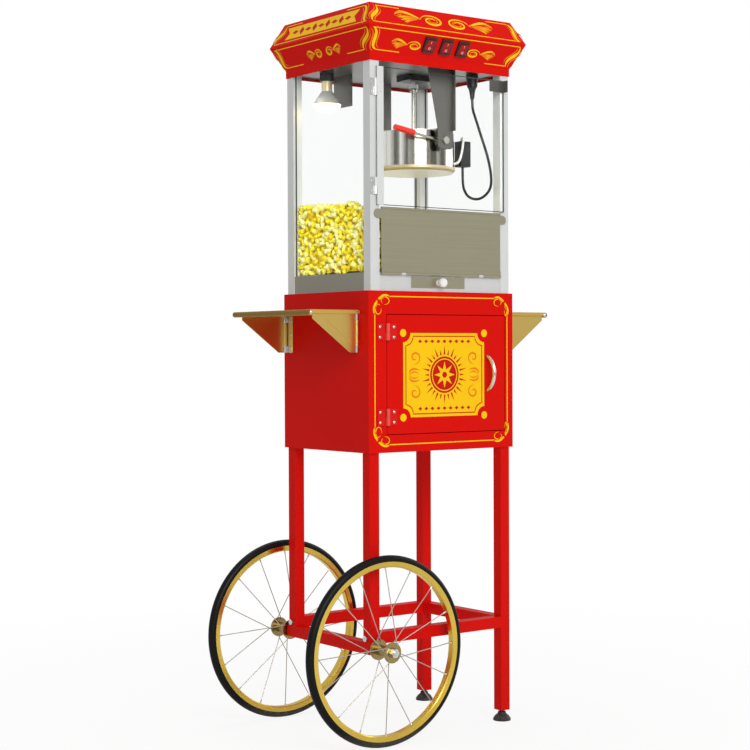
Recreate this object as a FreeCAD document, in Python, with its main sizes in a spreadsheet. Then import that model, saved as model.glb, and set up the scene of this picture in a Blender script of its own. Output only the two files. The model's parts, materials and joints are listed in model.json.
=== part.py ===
import FreeCAD, Part
import math
import os
from types import SimpleNamespace

import Sketcher

# A popcorn cart: a glazed popper with a tilting kettle, on a cabinet with two spoked wheels.
# Millimetres. Z is up, the floor is Z = 0, and the doors face -Y.
# Each piece is laid out from the middle of the cabinet; cart_x then moves the whole cart so
# that the origin lies on the floor under the middle of its box.

Vector = FreeCAD.Vector
doc = FreeCAD.newDocument("PopcornCart")

# Driving dimensions

SIZES = {
    # Cabinet
    "cabinet_width": 405,
    "cabinet_depth": 320,
    "cabinet_height": 346,
    "cabinet_underside": 620,
    "panel_sheet": 1.5,
    "tray_lip": 20,
    # Cabinet door and its lift-off hinges
    "door_width": 331,
    "door_height": 256,
    "door_offset": 12,
    "door_rise": 39,
    "door_return": 12,
    "door_gap": 1.5,
    "hinge_leaf_width": 26,
    "hinge_leaf_height": 36,
    "hinge_leaf_sheet": 2,
    "hinge_knuckle_radius": 4,
    "hinge_pin_radius": 2,
    "hinge_inset": 37,
    "bow_span": 78,
    "bow_reach": 25,
    "bow_wire_radius": 4,
    "bow_inset": 51,
    # Legs, rails and feet
    "leg_side": 25,
    "leg_wall": 1.5,
    "leg_inset": 6,
    "leg_plug": 12,
    "rail_underside": 212,
    "foot_radius": 20,
    "foot_height": 20,
    "foot_stem_radius": 5,
    "foot_stem_show": 4,
    "foot_stem_grip": 20,
    "leg_bolt_radius": 6.5,
    "leg_bolt_head": 6,
    # Wheels
    "wheel_radius": 203,
    "wheel_outset": 31,
    "tyre_section_radius": 10,
    "tyre_show": 13,
    "rim_depth": 12,
    "rim_width": 18,
    "rim_wall": 2,
    "hub_flange_radius": 22,
    "hub_flange_sheet": 3,
    "hub_spread": 48,
    "hub_barrel_radius": 11,
    "axle_radius": 6,
    "axle_nut_radius": 10,
    "axle_nut_height": 8,
    "spoke_count": 16,
    "spoke_radius": 1,
    "spoke_circle_radius": 18,
    "spoke_lead_angle": 38,
    "spoke_crossing": 2,
    "spoke_bury": 1,
    # Side shelves and their folding brackets
    "shelf_reach": 128,
    "shelf_length": 296,
    "shelf_setback": 18,
    "shelf_drop": 41,
    "shelf_sheet": 1.5,
    "shelf_roll_radius": 6,
    "shelf_knuckle_radius": 4,
    "shelf_pin_radius": 2,
    "shelf_pin_grip": 12,
    "shelf_lug_spread": 210,
    "shelf_lug_width": 8,
    "shelf_wall_gap": 1,
    "bracket_height": 82,
    "bracket_sheet": 2,
    "bracket_tip": 10,
    "bracket_toe": 16,
    "bracket_press": 1.2,
    "bracket_margin": 11,
    "bracket_inset": 3,
    "bracket_rear_inset": 12,
    "bracket_pin_radius": 2,
    "bracket_knuckle_radius": 4,
    "bracket_pin_stand": 6,
    "bracket_leaf_width": 24,
    "bracket_leaf_sheet": 1.5,
    "bracket_end_knuckle": 14,
    # Popper base, posts and glass
    "popper_side_setback": 8.5,
    "popper_setback": 3.5,
    "post_side": 24,
    "post_wall": 1.5,
    "base_height": 40,
    "base_inset": 2,
    "base_sheet": 2,
    "chamber_height": 454,
    "glass_sheet": 3,
    "glass_inset": 6,
    "sift_slot_width": 6,
    "sift_slot_length": 80,
    "sift_slot_pitch": 16,
    "sift_slots": 7,
    # Crumb drawer
    "drawer_width": 138,
    "drawer_depth": 190,
    "drawer_height": 18,
    "drawer_sheet": 1.5,
    "drawer_offset": -9,
    "drawer_lift": 12,
    "drawer_front_height": 23,
    "drawer_front_overlap": 5,
    "runner_width": 9,
    "knob_radius": 10,
    "knob_stem_radius": 5,
    "knob_reach": 22,
    # Serving flap
    "flap_width": 334,
    "flap_height": 142,
    "flap_sheet": 1.5,
    "flap_stand": 0.8,
    "flap_lip_radius": 2.5,
    "flap_ear_radius": 10,
    "flap_ear_drop": 15,
    "flap_barrel_radius": 3.2,
    "flap_barrel_drop": 3,
    "flap_pin_radius": 1.5,
    "flap_pin_grip": 8,
    "flap_lug_width": 12,
    "flap_lug_spread": 217,
    "flap_hem_height": 12,
    "flap_hem_sheet": 2.5,
    # Clear door
    "clear_sheet": 3,
    "clear_stand": 0.6,
    "clear_top_gap": 12,
    "clear_floor_gap": 3,
    "clear_overlap": 8,
    "stile_width": 17,
    "stile_sheet": 1.5,
    "clear_hinge_inset": 12,
    "clear_leaf_width": 10,
    "clear_leaf_height": 36,
    "clear_knuckle_radius": 3,
    "clear_pin_radius": 1.5,
    "clear_hinge_top": 44,
    "clear_hinge_foot": 40,
    "pull_width": 42,
    "pull_height": 26,
    "pull_fold": 14,
    "pull_sheet": 1.2,
    # Canopy
    "canopy_sheet": 1.5,
    "skirt_gap": 0.5,
    "skirt_height": 16,
    "skirt_drop": 6,
    "ridge_rise": 53.5,
    "ridge_overhang_side": 23.5,
    "ridge_overhang_front": 31,
    "crown_rise": 51.5,
    "crown_overhang": 1.5,
    "ceiling_sheet": 1.5,
    "guard_offset": -95,
    "guard_front": 43,
    "guard_length": 70,
    "guard_drop": 72,
    # Rocker switches
    "switch_width": 30,
    "switch_length": 34,
    "switch_bezel": 5,
    "switch_rim": 3.5,
    "switch_pitch": 46,
    "switch_climb": 28,
    "rocker_gap": 0.6,
    "rocker_swell": 2.5,
    "rocker_pin_radius": 1,
    "rocker_pin_reach": 1.5,
    # Lamp and sockets
    "lamp_pane_gap": 12.5,
    "lamp_y": 75,
    "lamp_socket_radius": 16,
    "lamp_socket_height": 18,
    "lamp_neck_radius": 12,
    "lamp_neck_length": 22,
    "lamp_cone_length": 30,
    "lamp_radius": 31.5,
    "lamp_dome": 16,
    "outlet_x": 138,
    "outlet_y": -98,
    "outlet_radius": 14,
    "outlet_height": 10,
    "plug_radius": 12,
    "plug_length": 22,
    "relief_length": 22,
    "relief_radius": 6.5,
    "cord_radius": 3,
    "gland_radius": 9,
    "gland_reach": 12,
    "gland_height": 20,
    # Stirring drive
    "motor_block_width": 60,
    "motor_block_depth": 48,
    "motor_block_height": 11,
    "motor_radius": 28,
    "motor_length": 48,
    "motor_neck_radius": 12,
    "drive_shaft_radius": 4,
    "drive_shaft_grip": 8,
    "drive_disc_radius": 11,
    "drive_disc_height": 8,
    "drive_neck": 7,
    "drive_gap": 1.6,
    # Kettle
    "kettle_pane_gap": 12,
    "pot_radius": 92,
    "pot_wall": 1.5,
    "pot_depth": 77,
    "pot_floor": 2,
    "heater_radius": 94,
    "heater_height": 12,
    "heater_chamfer": 6,
    "pivot_drop": 155,
    "pivot_below_rim": 24,
    "pivot_pin_radius": 4,
    "pivot_head_radius": 8,
    "pivot_head_height": 4,
    "bridge_width": 20,
    "bridge_sheet": 4,
    "bridge_leg_sheet": 3,
    "bridge_leg_height": 36,
    "hanger_stand": 112,
    "hanger_sheet": 2.5,
    "hanger_top_left": 48,
    "hanger_bottom_left": 20,
    "hanger_right": 22,
    "hanger_below_pivot": 20,
    "hanger_corner": 7,
    "hanger_waist": 22,
    "hanger_flange": 12,
    "lid_radius": 90,
    "lid_sheet": 1.2,
    "lid_lift": 0.5,
    "lid_pin_radius": 2,
    "lid_knuckle_radius": 3.5,
    "lid_knuckle_length": 20,
    "lid_knuckle_spread": 84,
    "lid_lug_length": 8,
    "stirrer_radius": 4.5,
    "stirrer_disc_radius": 9,
    "stirrer_disc_height": 6,
    "stirrer_blade_radius": 82,
    "stirrer_blade_width": 14,
    "stirrer_blade_height": 4,
    "stirrer_floor_gap": 1.5,
    "handle_hub_radius": 9,
    "handle_hub_length": 13,
    "handle_rod_radius": 3.5,
    "handle_length": 130,
    "handle_rise_angle": 9,
    "grip_radius": 6.5,
    "grip_length": 50,
    "terminal_width": 28,
    "terminal_depth": 24,
    "terminal_height": 58,
    "terminal_stand": 7,
    "terminal_y": -38,
    "terminal_above_pivot": 12,
    "terminal_stud_radius": 4,
    "terminal_stud_lift": 9,
    # Clearances
    "running_gap": 0.05,
    "moving_gap": 0.5,
    "hinge_end_gap": 0.4,
}

sheet = doc.addObject("Spreadsheet::Sheet", "Sizes")
for row, (name, number) in enumerate(SIZES.items(), start=1):
    sheet.set(f"A{row}", name)
    sheet.set(f"B{row}", str(number))
    sheet.setAlias(f"B{row}", name)
doc.recompute()


# Lengths worked out from the sheet

def text_of(term):
    """The expression of a rule or a plain number."""
    if isinstance(term, Rule):
        return term.text
    return f"({float(term)})"


def now_of(term):
    """The present value of a rule or a plain number."""
    if isinstance(term, Rule):
        return term.now
    return float(term)


class Rule:
    """A length that the sheet decides: its expression, and its value at present."""

    def __init__(self, text, now):
        self.text = text
        self.now = float(now)

    def __add__(self, other):
        return Rule(f"({self.text} + {text_of(other)})", self.now + now_of(other))

    __radd__ = __add__

    def __sub__(self, other):
        return Rule(f"({self.text} - {text_of(other)})", self.now - now_of(other))

    def __rsub__(self, other):
        return Rule(f"({text_of(other)} - {self.text})", now_of(other) - self.now)

    def __mul__(self, other):
        return Rule(f"({self.text} * {text_of(other)})", self.now * now_of(other))

    __rmul__ = __mul__

    def __truediv__(self, other):
        return Rule(f"({self.text} / {text_of(other)})", self.now / now_of(other))

    def __neg__(self):
        return Rule(f"(0 - {self.text})", -self.now)


def root(rule):
    """The square root of a rule."""
    return Rule(f"sqrt({rule.text})", math.sqrt(rule.now))


def slope_angle(run, rise):
    """The lean from upright, in degrees, of a slope with this run and rise."""
    return Rule(f"atan({(run / rise).text})", math.degrees(math.atan(run.now / rise.now)))


size = SimpleNamespace(**{name: Rule(f"Sizes.{name}", number) for name, number in SIZES.items()})


# Building blocks bound to the sheet

X_AXIS = Vector(1, 0, 0)
Y_AXIS = Vector(0, 1, 0)
TURN_TO = {
    "x": FreeCAD.Rotation(Y_AXIS, 90),
    "y": FreeCAD.Rotation(X_AXIS, -90),
    "z": FreeCAD.Rotation(),
}
home_x = {}


def put(item, at, turn=None):
    """Bind a piece's place, and remember its x for the move to the cart's own origin."""
    if turn is not None:
        item.Placement = FreeCAD.Placement(Vector(), turn)
    for axis, term in zip("xyz", at):
        item.setExpression(f"Placement.Base.{axis}", text_of(term))
    home_x[item.Name] = at[0]
    return item


def block(name, x, y, z):
    """A box given by its low and high limits along each axis."""
    item = doc.addObject("Part::Box", name)
    for side, (low, high) in zip(("Length", "Width", "Height"), (x, y, z)):
        item.setExpression(side, f"{text_of(high)} - {text_of(low)}")
    return put(item, (x[0], y[0], z[0]))


def rod(name, axis, centre, span, radius):
    """A round bar along an axis, from the span's low limit to its high one."""
    item = doc.addObject("Part::Cylinder", name)
    item.setExpression("Radius", text_of(radius))
    item.setExpression("Height", f"{text_of(span[1])} - {text_of(span[0])}")
    first, second = centre
    at = {"x": (span[0], first, second), "y": (first, span[0], second), "z": (first, second, span[0])}
    return put(item, at[axis], TURN_TO[axis])


def cut(name, base, *tools):
    """One piece with each tool taken out of it."""
    for number, tool in enumerate(tools):
        last = number == len(tools) - 1
        item = doc.addObject("Part::Cut", name if last else f"{name}_{number}")
        item.Base = base
        item.Tool = tool
        base = item
    return base


def fuse(name, *pieces):
    """Several shapes made into one solid."""
    item = doc.addObject("Part::MultiFuse", name)
    item.Shapes = list(pieces)
    item.Refine = True
    return item


def common(name, first, second):
    """What two shapes share."""
    item = doc.addObject("Part::Common", name)
    item.Base = first
    item.Tool = second
    return item


def group(name, pieces):
    """Like pieces kept apart as solids under one name."""
    item = doc.addObject("Part::Compound", name)
    item.Links = list(pieces)
    return item


def tube_block(name, x, y, z, wall, along):
    """A square tube, open at both ends of the axis it runs along."""
    limits = dict(zip("xyz", (x, y, z)))
    inner = {axis: limits[axis] if axis == along else (low + wall, high - wall)
             for axis, (low, high) in limits.items()}
    outer = block(f"{name}_outer", x, y, z)
    bore = block(f"{name}_bore", inner["x"], inner["y"], inner["z"])
    return cut(name, outer, bore)


def outline(body, plane, points):
    """A closed sketch in one of the body's own planes, each corner bound to the sheet."""
    support = next(item for item in body.Origin.OriginFeatures if item.Role == plane)
    sketch = body.newObject("Sketcher::SketchObject", f"{body.Name}_outline")
    sketch.AttachmentSupport = [(support, "")]
    sketch.MapMode = "FlatFace"
    corners = [Vector(now_of(across), now_of(up), 0) for across, up in points]
    count = len(corners)
    for index, corner in enumerate(corners):
        sketch.addGeometry(Part.LineSegment(corner, corners[(index + 1) % count]), False)
    for index in range(count):
        sketch.addConstraint(Sketcher.Constraint("Coincident", index, 2, (index + 1) % count, 1))
    for index, point in enumerate(points):
        for kind, term in zip(("DistanceX", "DistanceY"), point):
            place = Sketcher.Constraint(kind, -1, 1, index, 1, now_of(term))
            number = sketch.addConstraint(place)
            if isinstance(term, Rule):
                sketch.setExpression(f"Constraints[{number}]", term.text)
    return sketch


def plate(name, plane, points, thickness, at):
    """A flat plate: an outline in a plane, padded on both sides of it."""
    body = doc.addObject("PartDesign::Body", name)
    sketch = outline(body, plane, points)
    pad = body.newObject("PartDesign::Pad", f"{name}_pad")
    pad.Profile = sketch
    pad.setExpression("Length", text_of(thickness))
    pad.Midplane = True
    return put(body, at)


def turned(name, points, at, axis="z", flip=False):
    """A turned piece: a half section of radius and height, spun about its own axis."""
    body = doc.addObject("PartDesign::Body", name)
    sketch = outline(body, "XZ_Plane", points)
    spin = body.newObject("PartDesign::Revolution", f"{name}_spin")
    spin.Profile = sketch
    spin.ReferenceAxis = (sketch, ["V_Axis"])
    spin.Angle = 360
    turn = TURN_TO[axis]
    if flip:
        turn = turn * FreeCAD.Rotation(X_AXIS, 180)
    return put(body, at, turn)


def side_span(side, low, high):
    """Limits measured outwards from the middle, on the left (-1) or the right (1)."""
    return (low, high) if side > 0 else (-high, -low)


nodes = {}


def node(label, item):
    """Name a finished piece and move it from the cabinet's middle to the cart's origin."""
    item.Label = label
    item.setExpression("Placement.Base.x", text_of(cart_x + home_x.get(item.Name, 0)))
    nodes[label] = item


# Shared levels and faces

cabinet_top = size.cabinet_underside + size.cabinet_height
side_face = size.cabinet_width / 2
front_face = -size.cabinet_depth / 2
back_face = size.cabinet_depth / 2
leg_x = side_face - size.leg_inset - size.leg_side / 2
leg_y = back_face - size.leg_inset - size.leg_side / 2
axle_z = size.wheel_radius
wheel_y = back_face + size.wheel_outset
shelf_end = side_face + size.shelf_reach + size.shelf_roll_radius
cart_x = (leg_x + size.wheel_radius - shelf_end) / 2
post_x = side_face - size.popper_side_setback
post_y = back_face - size.popper_setback
pane_x = post_x - size.glass_inset - size.glass_sheet
kettle_x = pane_x - size.kettle_pane_gap - size.terminal_width - size.terminal_stand - size.pot_radius
lamp_x = size.lamp_pane_gap + size.lamp_radius - pane_x
base_top = cabinet_top + size.base_height
ceiling = base_top + size.chamber_height
skirt_bottom = ceiling - size.skirt_drop
skirt_top = skirt_bottom + size.skirt_height
ridge = skirt_top + size.ridge_rise
crown = ridge + size.crown_rise
skirt_x = post_x + size.skirt_gap + size.canopy_sheet
skirt_y = post_y + size.skirt_gap + size.canopy_sheet
pivot_z = ceiling - size.pivot_drop
rim_z = pivot_z + size.pivot_below_rim
pot_bottom = rim_z - size.pot_depth


# Lift-off hinges, shared by the two doors

def hinge_parts(name, axis_x, face_y, knuckle_y, middle_z, leaf, leaf_reach, knuckle_radius, pin_radius):
    """The fixed half of a lift-off hinge, with its pin, and the bored half that lifts off it."""
    width, height, thickness = leaf
    low = middle_z - height / 2
    high = middle_z + height / 2
    split = (middle_z - size.hinge_end_gap / 2, middle_z + size.hinge_end_gap / 2)
    leaf_y = (face_y - thickness, face_y)
    inner = knuckle_radius + size.moving_gap
    pin_top = high - size.hinge_leaf_sheet
    fixed = fuse(
        f"{name}_fixed",
        block(f"{name}_fixed_leaf", (axis_x - width, axis_x - inner), leaf_y, (low, high)),
        block(f"{name}_fixed_tab", (axis_x - inner, axis_x), leaf_y, (low, split[0])),
        rod(f"{name}_fixed_knuckle", "z", (axis_x, knuckle_y), (low, split[0]), knuckle_radius),
        rod(f"{name}_pin", "z", (axis_x, knuckle_y), (low, pin_top), pin_radius),
    )
    moving = cut(
        f"{name}_moving",
        fuse(
            f"{name}_moving_stock",
            block(f"{name}_moving_leaf", (axis_x + inner, axis_x + leaf_reach), leaf_y, (low, high)),
            block(f"{name}_moving_tab", (axis_x, axis_x + inner), leaf_y, (split[1], high)),
            rod(f"{name}_moving_knuckle", "z", (axis_x, knuckle_y), (split[1], high), knuckle_radius),
        ),
        rod(f"{name}_moving_bore", "z", (axis_x, knuckle_y),
            (low, pin_top + size.hinge_end_gap), pin_radius + size.running_gap),
    )
    return fixed, moving


# Cabinet: a folded wrap, a front frame, and a pan at the bottom and the top

def make_cabinet():
    walls = (front_face + size.panel_sheet, back_face)
    inside_x = (size.panel_sheet - side_face, side_face - size.panel_sheet)
    inside_y = (walls[0], back_face - size.panel_sheet)
    height = (size.cabinet_underside, cabinet_top)
    node("cabinet_wrap", cut(
        "cabinet_wrap",
        block("wrap_outer", (-side_face, side_face), walls, height),
        block("wrap_inside", inside_x, inside_y, height),
    ))
    pans = []
    for name, low, high, opening in (
        ("floor_pan", height[0], height[0] + size.tray_lip, (size.panel_sheet, size.tray_lip)),
        ("top_pan", height[1] - size.tray_lip, height[1], (0, size.tray_lip - size.panel_sheet)),
    ):
        lip_x = (inside_x[0] + size.panel_sheet, inside_x[1] - size.panel_sheet)
        lip_y = (inside_y[0] + size.panel_sheet, inside_y[1] - size.panel_sheet)
        pans.append(cut(
            name,
            block(f"{name}_outer", inside_x, inside_y, (low, high)),
            block(f"{name}_hollow", lip_x, lip_y, (low + opening[0], low + opening[1])),
        ))
    node("cabinet_pans", group("cabinet_pans", pans))


door_left = size.door_offset - size.door_width / 2
door_right = size.door_offset + size.door_width / 2
door_low = size.cabinet_underside + size.door_rise
door_high = door_low + size.door_height
door_axis_x = door_left - size.door_gap / 2
door_axis_y = front_face - size.hinge_knuckle_radius - size.moving_gap


def make_cabinet_door():
    gap = size.door_gap
    node("cabinet_front", cut(
        "cabinet_front",
        block("front_outer", (-side_face, side_face), (front_face, front_face + size.panel_sheet),
              (size.cabinet_underside, cabinet_top)),
        block("front_opening", (door_left - gap, door_right + gap),
              (front_face, front_face + size.panel_sheet), (door_low - gap, door_high + gap)),
    ))
    node("cabinet_door", cut(
        "cabinet_door",
        block("door_outer", (door_left, door_right), (front_face, front_face + size.door_return),
              (door_low, door_high)),
        block("door_hollow", (door_left + size.panel_sheet, door_right - size.panel_sheet),
              (front_face + size.panel_sheet, front_face + size.door_return),
              (door_low + size.panel_sheet, door_high - size.panel_sheet)),
    ))
    leaf = (size.hinge_leaf_width, size.hinge_leaf_height, size.hinge_leaf_sheet)
    pairs = [
        hinge_parts(f"door_hinge_{place}", door_axis_x, front_face, door_axis_y, middle, leaf,
                    size.hinge_leaf_width, size.hinge_knuckle_radius, size.hinge_pin_radius)
        for place, middle in (("low", door_low + size.hinge_inset), ("high", door_high - size.hinge_inset))
    ]
    node("door_hinge_bases", group("door_hinge_bases", [fixed for fixed, _ in pairs]))
    node("door_hinge_leaves", group("door_hinge_leaves", [moving for _, moving in pairs]))


def make_bow_handle():
    """A bow of round wire: the part of a ring that stands in front of the door."""
    half_span = size.bow_span / 2
    bow_radius = (half_span * half_span + size.bow_reach * size.bow_reach) / (size.bow_reach * 2)
    bow_x = door_right - size.bow_inset
    bow_z = (door_low + door_high) / 2
    ring = doc.addObject("Part::Torus", "bow_ring")
    ring.setExpression("Radius1", bow_radius.text)
    ring.setExpression("Radius2", size.bow_wire_radius.text)
    put(ring, (bow_x, front_face - size.bow_reach + bow_radius, bow_z), TURN_TO["x"])
    reach = bow_radius * 2
    front = block("bow_front", (bow_x - reach, bow_x + reach), (front_face - reach, front_face),
                  (bow_z - reach, bow_z + reach))
    node("door_handle", common("door_handle", ring, front))


# Undercarriage: legs, rails, axle beam, feet and fasteners

leg_bottom = size.foot_height + size.foot_stem_show
beam_low = axle_z - size.leg_side / 2
beam_high = axle_z + size.leg_side / 2
beam_end = wheel_y - size.hub_spread / 2 - size.hub_flange_sheet - size.moving_gap * 2


def leg_limits(side, end):
    """The limits in x and y of the leg at a side (-1 left) and an end (-1 front)."""
    half = size.leg_side / 2
    return (leg_x * side - half, leg_x * side + half), (leg_y * end - half, leg_y * end + half)


def make_undercarriage():
    legs = []
    for end, word in ((-1, "front"), (1, "rear")):
        x, y = leg_limits(-1, end)
        legs.append(tube_block(f"{word}_left_leg", x, y, (beam_high, size.cabinet_underside),
                               size.leg_wall, "z"))
        x, y = leg_limits(1, end)
        stock = block(f"{word}_right_leg_outer", x, y, (leg_bottom, size.cabinet_underside))
        bore = block(f"{word}_right_leg_bore", (x[0] + size.leg_wall, x[1] - size.leg_wall),
                     (y[0] + size.leg_wall, y[1] - size.leg_wall),
                     (leg_bottom + size.leg_plug, size.cabinet_underside))
        thread = rod(f"{word}_right_leg_thread", "z", (leg_x, leg_y * end),
                     (leg_bottom, leg_bottom + size.leg_plug), size.foot_stem_radius + size.running_gap)
        legs.append(cut(f"{word}_right_leg", stock, bore, thread))
    node("cart_legs", group("cart_legs", legs))

    half = size.leg_side / 2
    rail_z = (size.rail_underside, size.rail_underside + size.leg_side)
    rails = []
    for end, word in ((-1, "front"), (1, "rear")):
        rails.append(tube_block(f"{word}_rail", (half - leg_x, leg_x - half), leg_limits(1, end)[1],
                                rail_z, size.leg_wall, "x"))
    rails.append(tube_block("right_rail", leg_limits(1, 1)[0], (half - leg_y, leg_y - half),
                            rail_z, size.leg_wall, "y"))
    node("lower_rails", group("lower_rails", rails))

    beam_x = leg_limits(-1, 1)[0]
    channel = cut(
        "beam_channel",
        block("beam_outer", beam_x, (-beam_end, beam_end), (beam_low, beam_high)),
        block("beam_hollow", (beam_x[0] + size.leg_wall, beam_x[1] - size.leg_wall),
              (half - leg_y, leg_y - half), (beam_low, beam_high - size.leg_wall)),
    )
    hub_end = wheel_y + size.hub_spread / 2 + size.hub_flange_sheet
    axle_end = hub_end + size.moving_gap + size.axle_nut_height * 1.5
    stubs = [
        rod("front_stub", "y", (-leg_x, axle_z), (-axle_end, -beam_end), size.axle_radius),
        rod("rear_stub", "y", (-leg_x, axle_z), (beam_end, axle_end), size.axle_radius),
    ]
    node("axle_beam", fuse("axle_beam", channel, *stubs))

    fasteners = []
    for end, word in ((-1, "front"), (1, "rear")):
        nut = doc.addObject("Part::Prism", f"{word}_nut_stock")
        nut.Polygon = 6
        nut.setExpression("Circumradius", size.axle_nut_radius.text)
        nut.setExpression("Height", size.axle_nut_height.text)
        inner = hub_end + size.moving_gap
        start = inner if end > 0 else -inner - size.axle_nut_height
        put(nut, (-leg_x, start, axle_z), TURN_TO["y"])
        hole = rod(f"{word}_nut_hole", "y", (-leg_x, axle_z),
                   (start, start + size.axle_nut_height), size.axle_radius)
        fasteners.append(cut(f"{word}_axle_nut", nut, hole))
        bolt_z = size.rail_underside + half
        for side, hand in ((-1, "left"), (1, "right")):
            outer = leg_x + half
            fasteners.append(rod(f"{word}_{hand}_leg_bolt", "x", (leg_y * end, bolt_z),
                                 side_span(side, outer, outer + size.leg_bolt_head), size.leg_bolt_radius))
    node("cart_fasteners", group("cart_fasteners", fasteners))


def make_feet():
    """Levelling feet: a rubber bell on a threaded stem."""
    bell, rise, stem = size.foot_radius, size.foot_height, size.foot_stem_radius
    stem_top = leg_bottom + size.leg_plug + size.foot_stem_grip
    points = (
        (0, 0), (bell, 0), (bell, rise * 0.2), (bell * 0.8, rise * 0.5), (bell * 0.5, rise * 0.75),
        (bell * 0.42, rise), (stem, rise), (stem, stem_top), (0, stem_top),
    )
    for end, word in ((-1, "front"), (1, "rear")):
        node(f"{word}_foot", turned(f"{word}_foot", points, (leg_x, leg_y * end, 0)))


# Wheels

rim_outer = size.wheel_radius - size.tyre_show
rim_inner = rim_outer - size.rim_depth


def make_spokes(name, middle_y):
    """Crossed wire spokes from two hub flanges to the middle of the rim."""
    count = int(size.spoke_count.now)
    middle = Vector(-leg_x.now, middle_y.now, axle_z.now)
    spokes = []
    for index in range(count):
        flange = 1 if index % 2 else -1
        lead = 1 if (index // 2) % 2 else -1
        at_rim = 2 * math.pi * index / count
        at_hub = at_rim + lead * math.radians(size.spoke_lead_angle.now)
        along = flange * size.hub_spread.now / 2 + lead * size.spoke_crossing.now
        reach = size.spoke_circle_radius.now
        start = middle + Vector(reach * math.cos(at_hub), along, reach * math.sin(at_hub))
        reach = rim_inner.now + size.spoke_bury.now
        finish = middle + Vector(reach * math.cos(at_rim), 0, reach * math.sin(at_rim))
        wire = finish - start
        spokes.append(Part.makeCylinder(size.spoke_radius.now, wire.Length, start, wire))
    item = doc.addObject("Part::Feature", name)
    item.Shape = Part.makeCompound(spokes)
    node(name, item)


def make_wheels():
    half_rim = size.rim_width / 2
    wall = size.rim_wall
    rim_points = (
        (rim_inner, wall - half_rim), (rim_inner + wall, -half_rim), (rim_outer, -half_rim),
        (rim_outer, wall - half_rim), (rim_inner + wall, wall - half_rim),
        (rim_inner + wall, half_rim - wall), (rim_outer, half_rim - wall), (rim_outer, half_rim),
        (rim_inner + wall, half_rim), (rim_inner, half_rim - wall),
    )
    flange_in = size.hub_spread / 2 - size.hub_flange_sheet / 2
    flange_out = flange_in + size.hub_flange_sheet
    hub_end = size.hub_spread / 2 + size.hub_flange_sheet
    bore = size.axle_radius + size.running_gap
    barrel, flange = size.hub_barrel_radius, size.hub_flange_radius
    hub_points = (
        (bore, -hub_end), (barrel, -hub_end), (barrel, -flange_out), (flange, -flange_out),
        (flange, -flange_in), (barrel, -flange_in), (barrel, flange_in), (flange, flange_in),
        (flange, flange_out), (barrel, flange_out), (barrel, hub_end), (bore, hub_end),
    )
    for end, word in ((-1, "front"), (1, "rear")):
        middle_y = wheel_y * end
        at = (-leg_x, middle_y, axle_z)
        ring = doc.addObject("Part::Torus", f"{word}_tyre_ring")
        ring.setExpression("Radius1", (size.wheel_radius - size.tyre_section_radius).text)
        ring.setExpression("Radius2", size.tyre_section_radius.text)
        put(ring, at, TURN_TO["y"])
        well = rod(f"{word}_tyre_well", "y", (-leg_x, axle_z),
                   (middle_y - size.tyre_section_radius * 2, middle_y + size.tyre_section_radius * 2),
                   rim_outer)
        node(f"{word}_tyre", cut(f"{word}_tyre", ring, well))
        node(f"{word}_rim", turned(f"{word}_rim", rim_points, at, "y"))
        node(f"{word}_hub", turned(f"{word}_hub", hub_points, at, "y"))
        make_spokes(f"{word}_spokes", middle_y)


# Side shelves on lugs, with brackets that swing in flat to the cabinet

shelf_top = cabinet_top - size.shelf_drop
shelf_pivot_x = side_face + size.shelf_wall_gap + size.shelf_knuckle_radius
shelf_pivot_z = shelf_top - size.shelf_knuckle_radius
shelf_roll_x = side_face + size.shelf_reach
shelf_front = size.shelf_setback - size.shelf_length / 2
shelf_rear = size.shelf_setback + size.shelf_length / 2
bracket_high = shelf_top - size.shelf_knuckle_radius * 2 - size.moving_gap
bracket_low = bracket_high - size.bracket_height
bracket_pin_x = side_face + size.bracket_pin_stand
bracket_tip_x = shelf_roll_x - size.shelf_roll_radius - size.moving_gap * 3
bracket_y = {
    "front": shelf_front + size.shelf_sheet + size.bracket_inset,
    "rear": back_face - size.bracket_rear_inset,
}


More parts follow.
